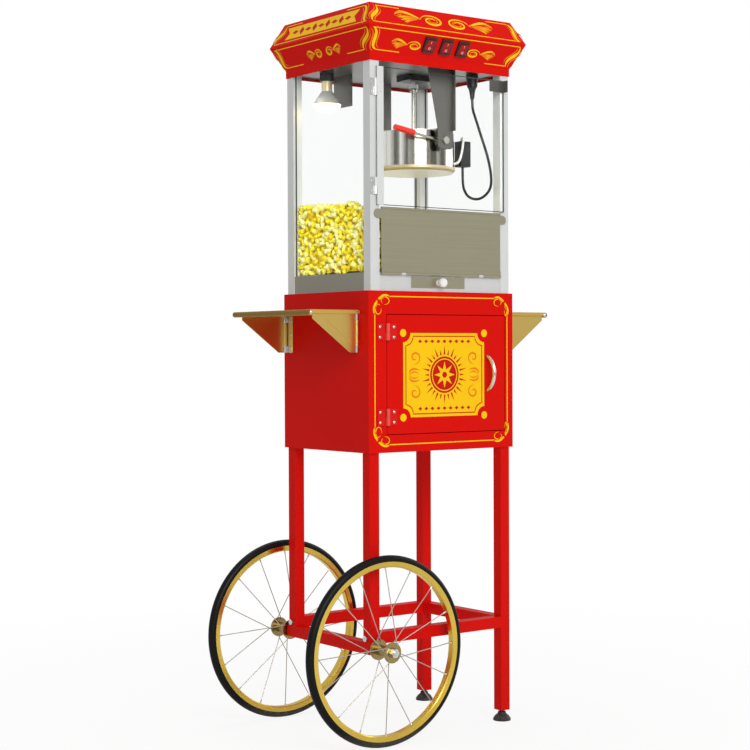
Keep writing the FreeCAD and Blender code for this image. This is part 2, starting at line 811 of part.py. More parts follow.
def make_shelf(side, hand):
    """A pan with a rolled outer edge, turned-down ends and a bored inner edge; and its two lugs."""
    name = f"{hand}_shelf"
    length = (shelf_front, shelf_rear)
    lip_z = (shelf_top - size.shelf_knuckle_radius * 2, shelf_top)
    stock = fuse(
        f"{name}_stock",
        block(f"{name}_top", side_span(side, shelf_pivot_x, shelf_roll_x), length,
              (shelf_top - size.shelf_sheet, shelf_top)),
        block(f"{name}_front_lip", side_span(side, shelf_pivot_x, shelf_roll_x),
              (shelf_front, shelf_front + size.shelf_sheet), lip_z),
        block(f"{name}_rear_lip", side_span(side, shelf_pivot_x, shelf_roll_x),
              (shelf_rear - size.shelf_sheet, shelf_rear), lip_z),
        rod(f"{name}_roll", "y", (shelf_roll_x * side, shelf_top - size.shelf_roll_radius), length,
            size.shelf_roll_radius),
        rod(f"{name}_knuckle", "y", (shelf_pivot_x * side, shelf_pivot_z), length,
            size.shelf_knuckle_radius),
    )
    bore = rod(f"{name}_bore", "y", (shelf_pivot_x * side, shelf_pivot_z), length,
               size.shelf_pin_radius + size.running_gap)
    notches = []
    lugs = []
    for end, word in ((-1, "front"), (1, "rear")):
        middle = size.shelf_setback + size.shelf_lug_spread / 2 * end
        half = size.shelf_lug_width / 2
        room = half + size.moving_gap
        notches.append(block(
            f"{name}_{word}_notch",
            side_span(side, side_face, shelf_pivot_x + size.shelf_knuckle_radius + size.moving_gap * 4),
            (middle - room, middle + room),
            (shelf_top - size.shelf_knuckle_radius * 2 - size.moving_gap, shelf_top)))
        lug = block(f"{name}_{word}_lug_plate",
                    side_span(side, side_face, shelf_pivot_x + size.shelf_knuckle_radius * 0.8),
                    (middle - half, middle + half),
                    (shelf_pivot_z - size.shelf_knuckle_radius * 0.9,
                     shelf_pivot_z + size.shelf_knuckle_radius * 0.7))
        pin = rod(f"{name}_{word}_pin", "y", (shelf_pivot_x * side, shelf_pivot_z),
                  (middle - half - size.shelf_pin_grip, middle + half + size.shelf_pin_grip),
                  size.shelf_pin_radius)
        lugs.append(fuse(f"{name}_{word}_lug", lug, pin))
    node(name, cut(name, stock, bore, *notches))
    return lugs


def make_bracket(side, hand, word):
    """A pressed triangle with a bored edge, and the leaf and pin that it swings on."""
    name = f"{hand}_{word}_bracket"
    inward = 1 if word == "front" else -1
    at_y = bracket_y[word]
    radius, pin = size.bracket_knuckle_radius, size.bracket_pin_radius
    inner_x = bracket_pin_x + radius * 0.5
    corners = (
        (inner_x, bracket_high), (bracket_tip_x, bracket_high),
        (bracket_tip_x, bracket_high - size.bracket_tip), (inner_x + size.bracket_toe, bracket_low),
        (inner_x, bracket_low),
    )
    margin = size.bracket_margin
    pressed = (
        (inner_x + margin, bracket_high - margin),
        (bracket_tip_x - margin * 3, bracket_high - margin),
        (inner_x + margin, bracket_low + margin * 1.6),
    )
    web = plate(f"{name}_web", "XZ_Plane", [(x * side, z) for x, z in corners],
                size.bracket_sheet, (0, at_y, 0))
    raised_y = at_y - inward * (size.bracket_sheet + size.bracket_press) / 2
    raised = plate(f"{name}_raised", "XZ_Plane", [(x * side, z) for x, z in pressed],
                   size.bracket_press, (0, raised_y, 0))
    swing_z = (bracket_low + size.bracket_end_knuckle + size.hinge_end_gap,
               bracket_high - size.bracket_end_knuckle - size.hinge_end_gap)
    centre = (bracket_pin_x * side, at_y)
    barrel = rod(f"{name}_barrel", "z", centre, swing_z, radius)
    bore = rod(f"{name}_bore", "z", centre, (bracket_low, bracket_high), pin + size.running_gap)
    room = []
    ends = []
    for place, low, high in (
        ("low", bracket_low, bracket_low + size.bracket_end_knuckle),
        ("high", bracket_high - size.bracket_end_knuckle, bracket_high),
    ):
        clear = radius + size.moving_gap
        room.append(block(f"{name}_{place}_room",
                          side_span(side, bracket_pin_x - clear, bracket_pin_x + clear),
                          (at_y - clear, at_y + clear),
                          (low - size.hinge_end_gap, high + size.hinge_end_gap)))
        ends.append(rod(f"{name}_{place}_knuckle", "z", centre, (low, high), radius))
        ends.append(block(f"{name}_{place}_tab", side_span(side, side_face, bracket_pin_x),
                          (at_y - radius / 2, at_y + radius / 2), (low, high)))
    node(name, cut(name, fuse(f"{name}_stock", web, raised, barrel), bore, *room))
    leaf_y = (at_y, at_y + size.bracket_leaf_width)
    if inward < 0:
        leaf_y = (at_y - size.bracket_leaf_width, at_y)
    leaf = block(f"{name}_leaf", side_span(side, side_face, side_face + size.bracket_leaf_sheet),
                 leaf_y, (bracket_low, bracket_high))
    hinge_pin = rod(f"{name}_pin", "z", centre, (bracket_low, bracket_high), pin)
    return fuse(f"{name}_hinge", leaf, hinge_pin, *ends)


def make_shelves():
    fixed = []
    for side, hand in ((-1, "left"), (1, "right")):
        fixed.extend(make_shelf(side, hand))
        for word in ("front", "rear"):
            fixed.append(make_bracket(side, hand, word))
    node("shelf_hinges", group("shelf_hinges", fixed))


# Popper: base, crumb drawer, posts and glass

base_front = size.base_inset - post_y
drawer_low = cabinet_top + size.drawer_lift
drawer_high = drawer_low + size.drawer_height
drawer_left = size.drawer_offset - size.drawer_width / 2
drawer_right = size.drawer_offset + size.drawer_width / 2
flap_axis_y = -post_y - size.flap_stand - size.flap_sheet - size.flap_barrel_radius / 3
flap_axis_z = base_top - size.flap_barrel_drop
flap_y = (-post_y - size.flap_stand - size.flap_sheet, -post_y - size.flap_stand)
flap_high = flap_axis_z + size.flap_height


def make_posts():
    """Four square tubes; the base is cut to the room that they take."""
    posts = []
    rooms = []
    for side, hand in ((-1, "left"), (1, "right")):
        for end, word in ((-1, "front"), (1, "rear")):
            x = side_span(side, post_x - size.post_side, post_x)
            y = side_span(end, post_y - size.post_side, post_y)
            height = (cabinet_top, ceiling)
            posts.append(tube_block(f"{hand}_{word}_post", x, y, height, size.post_wall, "z"))
            rooms.append(block(f"{hand}_{word}_post_room", x, y, height))
    node("corner_posts", group("corner_posts", posts))
    return rooms


def make_base(post_rooms):
    """A folded tray between the posts: sifting floor, drawer mouth, runners and flap hinge lugs."""
    wide = post_x - size.base_inset
    deep = post_y - size.base_inset
    wall = size.base_sheet
    stock = block("base_outer", (-wide, wide), (-deep, deep), (cabinet_top, base_top))
    hollow = block("base_hollow", (wall - wide, wide - wall), (wall - deep, deep - wall),
                   (cabinet_top, base_top - wall))
    gap = size.moving_gap
    mouth = block("drawer_mouth", (drawer_left - gap, drawer_right + gap), (-deep, wall - deep),
                  (drawer_low - gap, drawer_high + gap))
    slots = []
    count = int(size.sift_slots.now)
    for index in range(count):
        middle = size.drawer_offset + size.sift_slot_pitch * (index - (count - 1) / 2)
        half = size.sift_slot_width / 2
        slots.append(block(f"sift_slot_{index}", (middle - half, middle + half),
                           (-size.sift_slot_length / 2, size.sift_slot_length / 2),
                           (base_top - wall, base_top)))
    shell = cut("base_shell", stock, hollow, mouth, *post_rooms, *slots)
    runners = []
    for word, low in (("left", drawer_left), ("right", drawer_right - size.runner_width)):
        runners.append(block(f"{word}_runner", (low, low + size.runner_width), (wall - deep, deep - wall),
                             (cabinet_top, drawer_low - gap)))
    lugs = []
    half = size.flap_lug_width / 2
    for side, word in ((-1, "left"), (1, "right")):
        middle = size.flap_lug_spread / 2 * side
        lugs.append(block(f"{word}_flap_lug", (middle - half, middle + half), (flap_axis_y, base_front),
                          (flap_axis_z - size.flap_barrel_radius, flap_axis_z)))
        lugs.append(rod(f"{word}_flap_knuckle", "x", (flap_axis_y, flap_axis_z),
                        (middle - half, middle + half), size.flap_barrel_radius))
        lugs.append(rod(f"{word}_flap_pin", "x", (flap_axis_y, flap_axis_z),
                        (middle - half - size.flap_pin_grip, middle + half + size.flap_pin_grip),
                        size.flap_pin_radius))
    node("base_tray", fuse("base_tray", shell, *runners, *lugs))


def make_drawer():
    wall = size.drawer_sheet
    front_plate = block(
        "drawer_front",
        (drawer_left - size.drawer_front_overlap, drawer_right + size.drawer_front_overlap),
        (base_front - size.moving_gap - wall, base_front - size.moving_gap),
        (drawer_high + size.moving_gap * 2 - size.drawer_front_height, drawer_high + size.moving_gap * 2))
    tray = cut(
        "drawer_tray",
        block("drawer_outer", (drawer_left, drawer_right),
              (base_front - size.moving_gap, base_front + size.drawer_depth), (drawer_low, drawer_high)),
        block("drawer_hollow", (drawer_left + wall, drawer_right - wall),
              (base_front - size.moving_gap + wall, base_front + size.drawer_depth - wall),
              (drawer_low + wall, drawer_high)),
    )
    node("crumb_drawer", fuse("crumb_drawer", front_plate, tray))
    reach, stem, head = size.knob_reach, size.knob_stem_radius, size.knob_radius
    points = (
        (0, 0), (stem * 1.3, 0), (stem, reach * 0.2), (stem, reach * 0.4), (head * 0.85, reach * 0.5),
        (head, reach * 0.62), (head, reach * 0.85), (head * 0.75, reach), (0, reach),
    )
    knob_z = drawer_high + size.moving_gap * 2 - size.drawer_front_height / 2
    node("drawer_knob", turned("drawer_knob", points,
                               (size.drawer_offset, base_front - size.moving_gap - wall, knob_z),
                               "y", flip=True))


def make_glass():
    height = (base_top, ceiling)
    inner_x = pane_x
    inner_y = post_y - size.glass_inset - size.glass_sheet
    span_y = (size.post_side - post_y, post_y - size.post_side)
    span_x = (size.post_side - post_x, post_x - size.post_side)
    panes = [block(f"{hand}_pane", side_span(side, inner_x, inner_x + size.glass_sheet), span_y, height)
             for side, hand in ((-1, "left"), (1, "right"))]
    panes.append(block("rear_pane", span_x, (inner_y, inner_y + size.glass_sheet), height))
    node("window_glass", group("window_glass", panes))


# Serving flap and clear door

def make_flap():
    half = size.flap_width / 2
    ear_z = flap_high - size.flap_ear_drop
    ears = [rod(f"{word}_ear", "y", ((half + size.flap_ear_radius * 0.8) * side, ear_z), flap_y,
                size.flap_ear_radius) for side, word in ((-1, "left"), (1, "right"))]
    bridge = block("flap_ear_bridge",
                   (-half - size.flap_ear_radius * 0.8, half + size.flap_ear_radius * 0.8), flap_y,
                   (ear_z - size.flap_ear_radius, ear_z + size.flap_ear_radius))
    lip = rod("flap_lip", "x", (flap_y[0], flap_high - size.flap_lip_radius), (-half, half),
              size.flap_lip_radius)
    hem = block("flap_hem", (-half, half), (flap_y[0] - size.flap_hem_sheet, flap_y[0]),
                (flap_axis_z, flap_axis_z + size.flap_hem_height))
    barrel = rod("flap_barrel", "x", (flap_axis_y, flap_axis_z), (-half, half), size.flap_barrel_radius)
    panel = block("flap_panel", (-half, half), flap_y, (flap_axis_z, flap_high))
    rooms = []
    room = size.flap_lug_width / 2 + size.moving_gap
    reach = size.flap_barrel_radius + size.moving_gap
    for side, word in ((-1, "left"), (1, "right")):
        middle = size.flap_lug_spread / 2 * side
        rooms.append(block(f"{word}_flap_room", (middle - room, middle + room),
                           (flap_axis_y - reach * 2, flap_axis_y + reach * 2),
                           (flap_axis_z - reach, flap_axis_z + reach)))
        rooms.append(rod(f"{word}_flap_bore", "x", (flap_axis_y, flap_axis_z),
                         (middle - room - size.flap_pin_grip, middle + room + size.flap_pin_grip),
                         size.flap_pin_radius + size.running_gap))
    stock = fuse("flap_stock", panel, bridge, *ears, lip, hem, barrel)
    node("serving_flap", cut("serving_flap", stock, *rooms))


clear_axis_x = size.clear_hinge_inset - post_x
clear_axis_y = -post_y - size.hinge_leaf_sheet - size.clear_knuckle_radius / 2
clear_left = clear_axis_x + size.clear_knuckle_radius + size.moving_gap
clear_right = post_x - size.post_side + size.clear_overlap
clear_low = flap_high + size.clear_floor_gap
clear_high = skirt_bottom - size.clear_top_gap
clear_y = (-post_y - size.clear_stand - size.clear_sheet, -post_y - size.clear_stand)


def make_clear_door():
    node("clear_door", block("clear_door", (clear_left, clear_right), clear_y, (clear_low, clear_high)))
    stile = block("stile_strip", (clear_left, clear_left + size.stile_width),
                  (clear_y[0] - size.stile_sheet, clear_y[0]), (clear_low, clear_high))
    leaf = (size.clear_leaf_width, size.clear_leaf_height, size.hinge_leaf_sheet)
    bases = []
    straps = []
    for place, middle in (("low", clear_low + size.clear_hinge_foot),
                          ("high", clear_high - size.clear_hinge_top)):
        low = middle - size.clear_leaf_height / 2
        high = middle + size.clear_leaf_height / 2
        split = (middle - size.hinge_end_gap / 2, middle + size.hinge_end_gap / 2)
        centre = (clear_axis_x, clear_axis_y)
        radius = size.clear_knuckle_radius
        inner = clear_axis_x - radius - size.moving_gap
        leaf_y = (-post_y - size.hinge_leaf_sheet, -post_y)
        name = f"clear_hinge_{place}"
        pin_top = high - size.hinge_leaf_sheet
        bases.append(fuse(
            f"{name}_base",
            block(f"{name}_leaf", (-post_x, inner), leaf_y, (low, high)),
            block(f"{name}_tab", (inner, clear_axis_x), leaf_y, (low, split[0])),
            rod(f"{name}_knuckle", "z", centre, (low, split[0]), radius),
            rod(f"{name}_pin", "z", centre, (low, pin_top), size.clear_pin_radius),
        ))
        strap_y = (clear_y[0] - size.stile_sheet, clear_axis_y + radius / 2)
        straps.append(cut(
            f"{name}_strap",
            fuse(f"{name}_strap_stock",
                 block(f"{name}_strap_tab", (clear_axis_x, clear_left), (strap_y[0], clear_y[0]),
                       (split[1], high)),
                 rod(f"{name}_strap_knuckle", "z", centre, (split[1], high), radius)),
            rod(f"{name}_strap_bore", "z", centre, (low, pin_top + size.hinge_end_gap),
                size.clear_pin_radius + size.running_gap),
        ))
    node("clear_door_hinges", group("clear_door_hinges", bases))
    node("clear_door_stile", fuse("clear_door_stile", stile, *straps))
    pull_y = clear_y[0]
    tab = block("pull_tab", (clear_right - size.pull_width, clear_right),
                (pull_y - size.pull_sheet, pull_y), (clear_high - size.pull_height, clear_high))
    fold = block("pull_fold", (clear_right - size.pull_sheet, clear_right),
                 (pull_y - size.pull_fold, pull_y), (clear_high - size.pull_height, clear_high))
    node("door_pull", fuse("door_pull", tab, fold))


# Canopy: a skirt, a flare out to the ridge and a slope in to the flat crown

def frustum(name, low_half, high_half, low, high):
    """A solid with level rectangular ends of different sizes."""
    item = doc.addObject("Part::Wedge", name)
    limits = {
        "Xmin": -low_half[0], "Xmax": low_half[0], "Zmin": -low_half[1], "Zmax": low_half[1],
        "X2min": -high_half[0], "X2max": high_half[0], "Z2min": -high_half[1], "Z2max": high_half[1],
        "Ymin": Rule("0", 0), "Ymax": high - low,
    }
    for side, term in limits.items():
        item.setExpression(side, term.text)
    return put(item, (0, 0, low), FreeCAD.Rotation(X_AXIS, 90))


ridge_x = skirt_x + size.ridge_overhang_side
ridge_y = skirt_y + size.ridge_overhang_front
crown_x = skirt_x + size.crown_overhang
crown_y = skirt_y + size.crown_overhang


def make_canopy():
    wall = size.canopy_sheet
    skirt = (skirt_x, skirt_y)
    skirt_in = (skirt_x - wall, skirt_y - wall)
    outer = fuse(
        "canopy_outer",
        block("skirt_outer", (-skirt_x, skirt_x), (-skirt_y, skirt_y), (skirt_bottom, skirt_top)),
        frustum("flare_outer", skirt, (ridge_x, ridge_y), skirt_top, ridge),
        frustum("slope_outer", (ridge_x, ridge_y), (crown_x, crown_y), ridge, crown),
    )
    inner = fuse(
        "canopy_inner",
        block("skirt_inner", (wall - skirt_x, skirt_x - wall), (wall - skirt_y, skirt_y - wall),
              (skirt_bottom, skirt_top)),
        frustum("flare_inner", skirt_in, (ridge_x - wall, ridge_y - wall), skirt_top, ridge),
        frustum("slope_inner", (ridge_x - wall, ridge_y - wall), (crown_x - wall, crown_y - wall),
                ridge, crown - wall),
    )
    node("canopy_shell", cut("canopy_shell", outer, inner))

    deck = (ceiling, ceiling + size.ceiling_sheet)
    panel = block("ceiling_panel", (wall - skirt_x, skirt_x - wall), (wall - skirt_y, skirt_y - wall), deck)
    neck_hole = rod("motor_neck_hole", "z", (kettle_x, 0), deck, size.motor_neck_radius)
    guard = block("splash_guard", (size.guard_offset, size.guard_offset + size.ceiling_sheet),
                  (size.guard_front, size.guard_front + size.guard_length),
                  (ceiling - size.guard_drop, ceiling))
    node("ceiling_plate", cut("ceiling_plate", fuse("ceiling_stock", panel, guard), neck_hole))


def make_switches():
    """Three rocker switches on the front flare, each rocker on pins in its own bezel."""
    lean = slope_angle(size.ridge_overhang_front, size.ridge_rise)
    turn = FreeCAD.Rotation(X_AXIS, 90 + lean.now)
    width, length, thick = size.switch_width, size.switch_length, size.switch_bezel
    climb = size.switch_climb
    foot_y = -skirt_y - climb * size.ridge_overhang_front / size.ridge_rise
    inner_x = width / 2 - size.switch_rim
    inner_y = length / 2 - size.switch_rim
    rocker_x = inner_x - size.rocker_gap
    rocker_y = inner_y - size.rocker_gap * 2
    bezels = []
    for index, word in enumerate(("left", "middle", "right")):
        at = (size.switch_pitch * (index - 1) - size.switch_rim / 2, foot_y, skirt_top + climb)
        name = f"{word}_switch"
        frame = cut(
            f"{name}_frame",
            block(f"{name}_rim", (-width / 2, width / 2), (-length / 2, length / 2), (Rule("0", 0), thick)),
            block(f"{name}_window", (-inner_x, inner_x), (-inner_y, inner_y), (Rule("0", 0), thick)),
            rod(f"{name}_pin_hole", "x", (0, thick / 2),
                (-inner_x - size.rocker_pin_reach * 1.4, inner_x + size.rocker_pin_reach * 1.4),
                size.rocker_pin_radius + size.running_gap),
        )
        put(frame, at, turn)
        bezels.append(frame)
        lift = size.moving_gap * 2
        points = (
            (-rocker_y, lift * 2.5), (-rocker_y * 0.5, lift), (rocker_y * 0.5, lift), (rocker_y, lift * 2.5),
            (rocker_y, thick + size.rocker_swell), (0, thick), (-rocker_y, thick + size.rocker_swell * 0.3),
        )
        paddle = plate(f"{word}_rocker_paddle", "YZ_Plane", points, rocker_x * 2, (0, 0, 0))
        pins = rod(f"{word}_rocker_pins", "x", (0, thick / 2),
                   (-inner_x - size.rocker_pin_reach, inner_x + size.rocker_pin_reach),
                   size.rocker_pin_radius)
        rocker = fuse(f"{word}_rocker", paddle, pins)
        put(rocker, at, turn)
        node(f"{word}_rocker", rocker)
    node("switch_bezels", group("switch_bezels", bezels))


# Lamp, sockets, plug and the kettle's lead

def make_lamp_and_sockets():
    socket_low = ceiling - size.lamp_socket_height
    lamp_socket = rod("lamp_socket", "z", (lamp_x, size.lamp_y), (socket_low, ceiling),
                      size.lamp_socket_radius)
    outlet = rod("kettle_outlet", "z", (size.outlet_x, size.outlet_y),
                 (ceiling - size.outlet_height, ceiling), size.outlet_radius)
    gland_z = cabinet_top + size.gland_height
    gland = rod("mains_gland", "y", (0, gland_z),
                (post_y - size.base_inset, post_y - size.base_inset + size.gland_reach), size.gland_radius)
    node("sockets", group("sockets", [lamp_socket, outlet, gland]))
    neck = size.lamp_neck_length
    cone = neck + size.lamp_cone_length
    dome = cone + size.lamp_dome
    wide = size.lamp_radius
    points = (
        (0, 0), (size.lamp_neck_radius, 0), (size.lamp_neck_radius, -neck), (wide * 0.8, -neck * 0.4 - cone * 0.6),
        (wide, -cone), (wide * 0.92, -cone - size.lamp_dome * 0.45), (wide * 0.6, -cone - size.lamp_dome * 0.85),
        (0, -dome),
    )
    node("lamp_bulb", turned("lamp_bulb", points, (lamp_x, size.lamp_y, socket_low)))
    plug_top = ceiling - size.outlet_height
    body_end = size.plug_length
    relief_end = body_end + size.relief_length
    plug_points = (
        (0, 0), (size.plug_radius, 0), (size.plug_radius, -body_end * 0.7),
        (size.relief_radius * 1.25, -body_end), (size.relief_radius, -body_end - size.relief_length * 0.3),
        (size.cord_radius * 1.5, -relief_end), (0, -relief_end),
    )
    node("cord_plug", turned("cord_plug", plug_points, (size.outlet_x, size.outlet_y, plug_top)))


# The lead's corners, from the terminal box down, round and up to the plug.
LEAD_DROP = (
    (0, 0, -26),
    (-6, -10, -52),
    (-8, -32, -74),
    (-4, -66, -80),
    (2, -94, -62),
    (-2, -105, -34),
    (-13, -104, 14),
    (-25, -94, 62),
    (-24, -74, 104),
)


def make_lead():
    """A round lead along straight runs joined by arcs as large as the runs allow."""
    start = Vector((kettle_x + terminal_x).now, size.terminal_y.now, terminal_low.now)
    finish = Vector(size.outlet_x.now, size.outlet_y.now,
                    (ceiling - size.outlet_height - size.plug_length - size.relief_length).now)
    below = finish - Vector(0, 0, size.relief_length.now)
    corners = [start] + [start + Vector(*step) for step in LEAD_DROP] + [below, finish]
    edges = []
    last = corners[0]
    for before, corner, after in zip(corners, corners[1:], corners[2:]):
        back = before - corner
        ahead = after - corner
        turn = math.pi - back.getAngle(ahead)
        short = min(back.Length, ahead.Length)
        reach = 0.45 * short
        radius = reach / math.tan(turn / 2)
        print(f"lead corner radius {radius:.1f}, turn {math.degrees(turn):.0f}, run {ahead.Length:.0f}")
        back.normalize()
        ahead.normalize()
        enter = corner + back * reach
        leave = corner + ahead * reach
        inward = (back + ahead).normalize()
        middle = corner + inward * (radius / math.cos(turn / 2) - radius)
        edges.append(Part.LineSegment(last, enter).toShape())
        edges.append(Part.Arc(enter, middle, leave).toShape())
        last = leave
    edges.append(Part.LineSegment(last, corners[-1]).toShape())
    path = Part.Wire(edges)
    ring = Part.Wire([Part.Circle(start, edges[0].tangentAt(0), size.cord_radius.now).toShape()])
    tube = path.makePipeShell([ring], True, True)
    section = math.pi * size.cord_radius.now ** 2
    print(f"lead length {path.Length:.1f}, volume ratio {tube.Volume / (section * path.Length):.4f}")
    item = doc.addObject("Part::Feature", "kettle_cord")
    item.Shape = tube
    node("kettle_cord", item)


# Stirring drive

drive_low = ceiling - size.motor_block_height - size.drive_neck - size.drive_disc_height
stirrer_top = drive_low - size.drive_gap


def make_drive():
    block_low = ceiling - size.motor_block_height
    wide, deep = size.motor_block_width / 2, size.motor_block_depth / 2
    axis = (kettle_x, 0)
    deck = ceiling + size.ceiling_sheet
    stock = fuse(
        "motor_stock",
        block("motor_block", (kettle_x - wide, kettle_x + wide), (-deep, deep), (block_low, ceiling)),
        rod("motor_neck", "z", axis, (ceiling, deck), size.motor_neck_radius),
        rod("motor_can", "z", axis, (deck, deck + size.motor_length), size.motor_radius),
    )
    bore = rod("motor_bore", "z", axis, (block_low, block_low + size.drive_shaft_grip + size.moving_gap),
               size.drive_shaft_radius + size.running_gap)
    node("stir_motor", cut("stir_motor", stock, bore))
    node("drive_coupling", fuse(
        "drive_coupling",
        rod("drive_shaft", "z", axis, (drive_low, block_low + size.drive_shaft_grip), size.drive_shaft_radius),
        rod("drive_disc", "z", axis, (drive_low, drive_low + size.drive_disc_height), size.drive_disc_radius),
    ))


# Kettle

terminal_x = size.pot_radius + size.terminal_stand + size.terminal_width / 2
terminal_low = pivot_z + size.terminal_above_pivot - size.terminal_height
bridge_top = rim_z + size.bridge_sheet
lid_pin_x = size.bridge_width / 2 + size.lid_knuckle_radius + size.moving_gap
lid_pin_z = rim_z + size.lid_lift + size.lid_knuckle_radius


def make_pot():
    axis = (kettle_x, 0)
    node("kettle_pot", cut(
        "kettle_pot",
        rod("pot_outer", "z", axis, (pot_bottom, rim_z), size.pot_radius),
        rod("pot_inner", "z", axis, (pot_bottom + size.pot_floor, rim_z), size.pot_radius - size.pot_wall),
    ))
    radius, height, bevel = size.heater_radius, size.heater_height, size.heater_chamfer
    points = ((0, -height), (radius - bevel, -height), (radius, bevel - height), (radius, 0), (0, 0))
    node("kettle_heater", turned("kettle_heater", points, (kettle_x, 0, pot_bottom)))


def make_bridge():
    """The bar over the pot: its end legs carry the pot and the pivot pins, its rods the lids."""
    middle = kettle_x
    half = size.bridge_width / 2
    leg_in = size.pot_radius
    leg_out = leg_in + size.bridge_leg_sheet
    pieces = [block("bridge_bar", (middle - half, middle + half), (-leg_out, leg_out), (rim_z, bridge_top))]
    pin_end = size.hanger_stand + size.hanger_sheet + size.moving_gap
    for end, word in ((-1, "front"), (1, "rear")):
        pieces.append(block(f"{word}_bridge_leg", (middle - half, middle + half),
                            side_span(end, leg_in, leg_out),
                            (bridge_top - size.bridge_leg_height, bridge_top)))
        pieces.append(rod(f"{word}_pivot_pin", "y", (middle, pivot_z),
                          side_span(end, leg_out, pin_end + size.pivot_head_height), size.pivot_pin_radius))
        pieces.append(rod(f"{word}_pivot_head", "y", (middle, pivot_z),
                          side_span(end, pin_end, pin_end + size.pivot_head_height), size.pivot_head_radius))
    lug_in = size.lid_knuckle_spread / 2 + size.lid_knuckle_length / 2 + size.hinge_end_gap
    lug_out = lug_in + size.lid_lug_length
    for side, hand in ((-1, "left"), (1, "right")):
        pieces.append(rod(f"{hand}_lid_rod", "y", (middle + lid_pin_x * side, lid_pin_z),
                          (-lug_out, lug_out), size.lid_pin_radius))
        for end, word in ((-1, "front"), (1, "rear")):
            low = middle + half * side if side > 0 else middle - lid_pin_x - size.lid_pin_radius
            high = low + size.lid_knuckle_radius + size.moving_gap + size.lid_pin_radius
            pieces.append(block(f"{hand}_{word}_lid_lug", (low, high), side_span(end, lug_in, lug_out),
                                (rim_z + size.lid_lift, bridge_top + size.lid_knuckle_radius)))
    stock = fuse("bridge_stock", *pieces)
    bearing = rod("bridge_bearing", "z", (middle, 0), (rim_z, bridge_top),
                  size.stirrer_radius + size.running_gap)
    node("kettle_bridge", cut("kettle_bridge", stock, bearing))


def make_lid(side, hand):
    """Half of the kettle's lid: a part disc hung on the bridge's rod by two curled knuckles."""
    name = f"{hand}_lid"
    middle = kettle_x
    low = rim_z + size.lid_lift
    disc = rod(f"{name}_disc", "z", (middle, 0), (low, low + size.lid_sheet), size.lid_radius)
    reach = size.lid_radius * 2
    limits = side_span(side, lid_pin_x + size.lid_knuckle_radius + size.moving_gap, reach)
    half = common(f"{name}_half", disc, block(
        f"{name}_side", (middle + limits[0], middle + limits[1]), (-reach, reach),
        (low, low + size.lid_sheet)))
    knuckles = []
    for end, word in ((-1, "front"), (1, "rear")):
        at_y = size.lid_knuckle_spread / 2 * end
        span = (at_y - size.lid_knuckle_length / 2, at_y + size.lid_knuckle_length / 2)
        knuckles.append(rod(f"{name}_{word}_knuckle", "y", (middle + lid_pin_x * side, lid_pin_z), span,
                            size.lid_knuckle_radius))
        strap = side_span(side, lid_pin_x, lid_pin_x + size.lid_knuckle_radius * 2)
        knuckles.append(block(f"{name}_{word}_strap", (middle + strap[0], middle + strap[1]), span,
                              (low, low + size.lid_sheet)))
    bore = rod(f"{name}_bore", "y", (middle + lid_pin_x * side, lid_pin_z), (-reach, reach),
               size.lid_pin_radius + size.running_gap)
    node(name, cut(name, fuse(f"{name}_stock", half, *knuckles), bore))


def make_stirrer():
    axis = (kettle_x, 0)
    blade_low = pot_bottom + size.pot_floor + size.stirrer_floor_gap
    blade_high = blade_low + size.stirrer_blade_height
    reach, half = size.stirrer_blade_radius, size.stirrer_blade_width / 2
    node("stirrer", fuse(
        "stirrer",
        rod("stirrer_shaft", "z", axis, (blade_low, stirrer_top), size.stirrer_radius),
        rod("stirrer_disc", "z", axis, (stirrer_top - size.stirrer_disc_height, stirrer_top),
            size.stirrer_disc_radius),
        block("stirrer_blade", (kettle_x - reach, kettle_x + reach), (-half, half),
              (blade_low, blade_high)),
    ))


def make_kettle_handle():
    """A rod that rises to the left from a hub on the front pivot pin, and its sleeve grip."""
    near = size.pot_radius + size.bridge_leg_sheet
    hub_y = (-near - size.handle_hub_length, -near)
    rod_y = (hub_y[0] + hub_y[1]) / 2
    hub = rod("handle_hub", "y", (kettle_x, pivot_z), hub_y, size.handle_hub_radius)
    pin_bore = rod("handle_pin_bore", "y", (kettle_x, pivot_z), hub_y, size.pivot_pin_radius)
    turn = FreeCAD.Rotation(Y_AXIS, size.handle_rise_angle.now - 90)
    sine = Rule(f"sin({size.handle_rise_angle.text} * 1 deg)",
                math.sin(math.radians(size.handle_rise_angle.now)))
    cosine = Rule(f"cos({size.handle_rise_angle.text} * 1 deg)",
                  math.cos(math.radians(size.handle_rise_angle.now)))

    def along(name, start, length, radius):
        item = doc.addObject("Part::Cylinder", name)
        item.setExpression("Radius", radius.text)
        item.setExpression("Height", text_of(length))
        return put(item, (kettle_x - cosine * start, rod_y, pivot_z + sine * start), turn)

    wire = along("handle_wire", Rule("0", 0), size.handle_length, size.handle_rod_radius)
    node("kettle_handle", cut("kettle_handle", fuse("handle_stock", hub, wire), pin_bore))
    start = size.handle_length - size.grip_length
    sleeve = along("grip_sleeve", start, size.grip_length + size.grip_radius / 2, size.grip_radius)
    bore = along("grip_bore", start, size.grip_length, size.handle_rod_radius)
    node("handle_grip", cut("handle_grip", sleeve, bore))


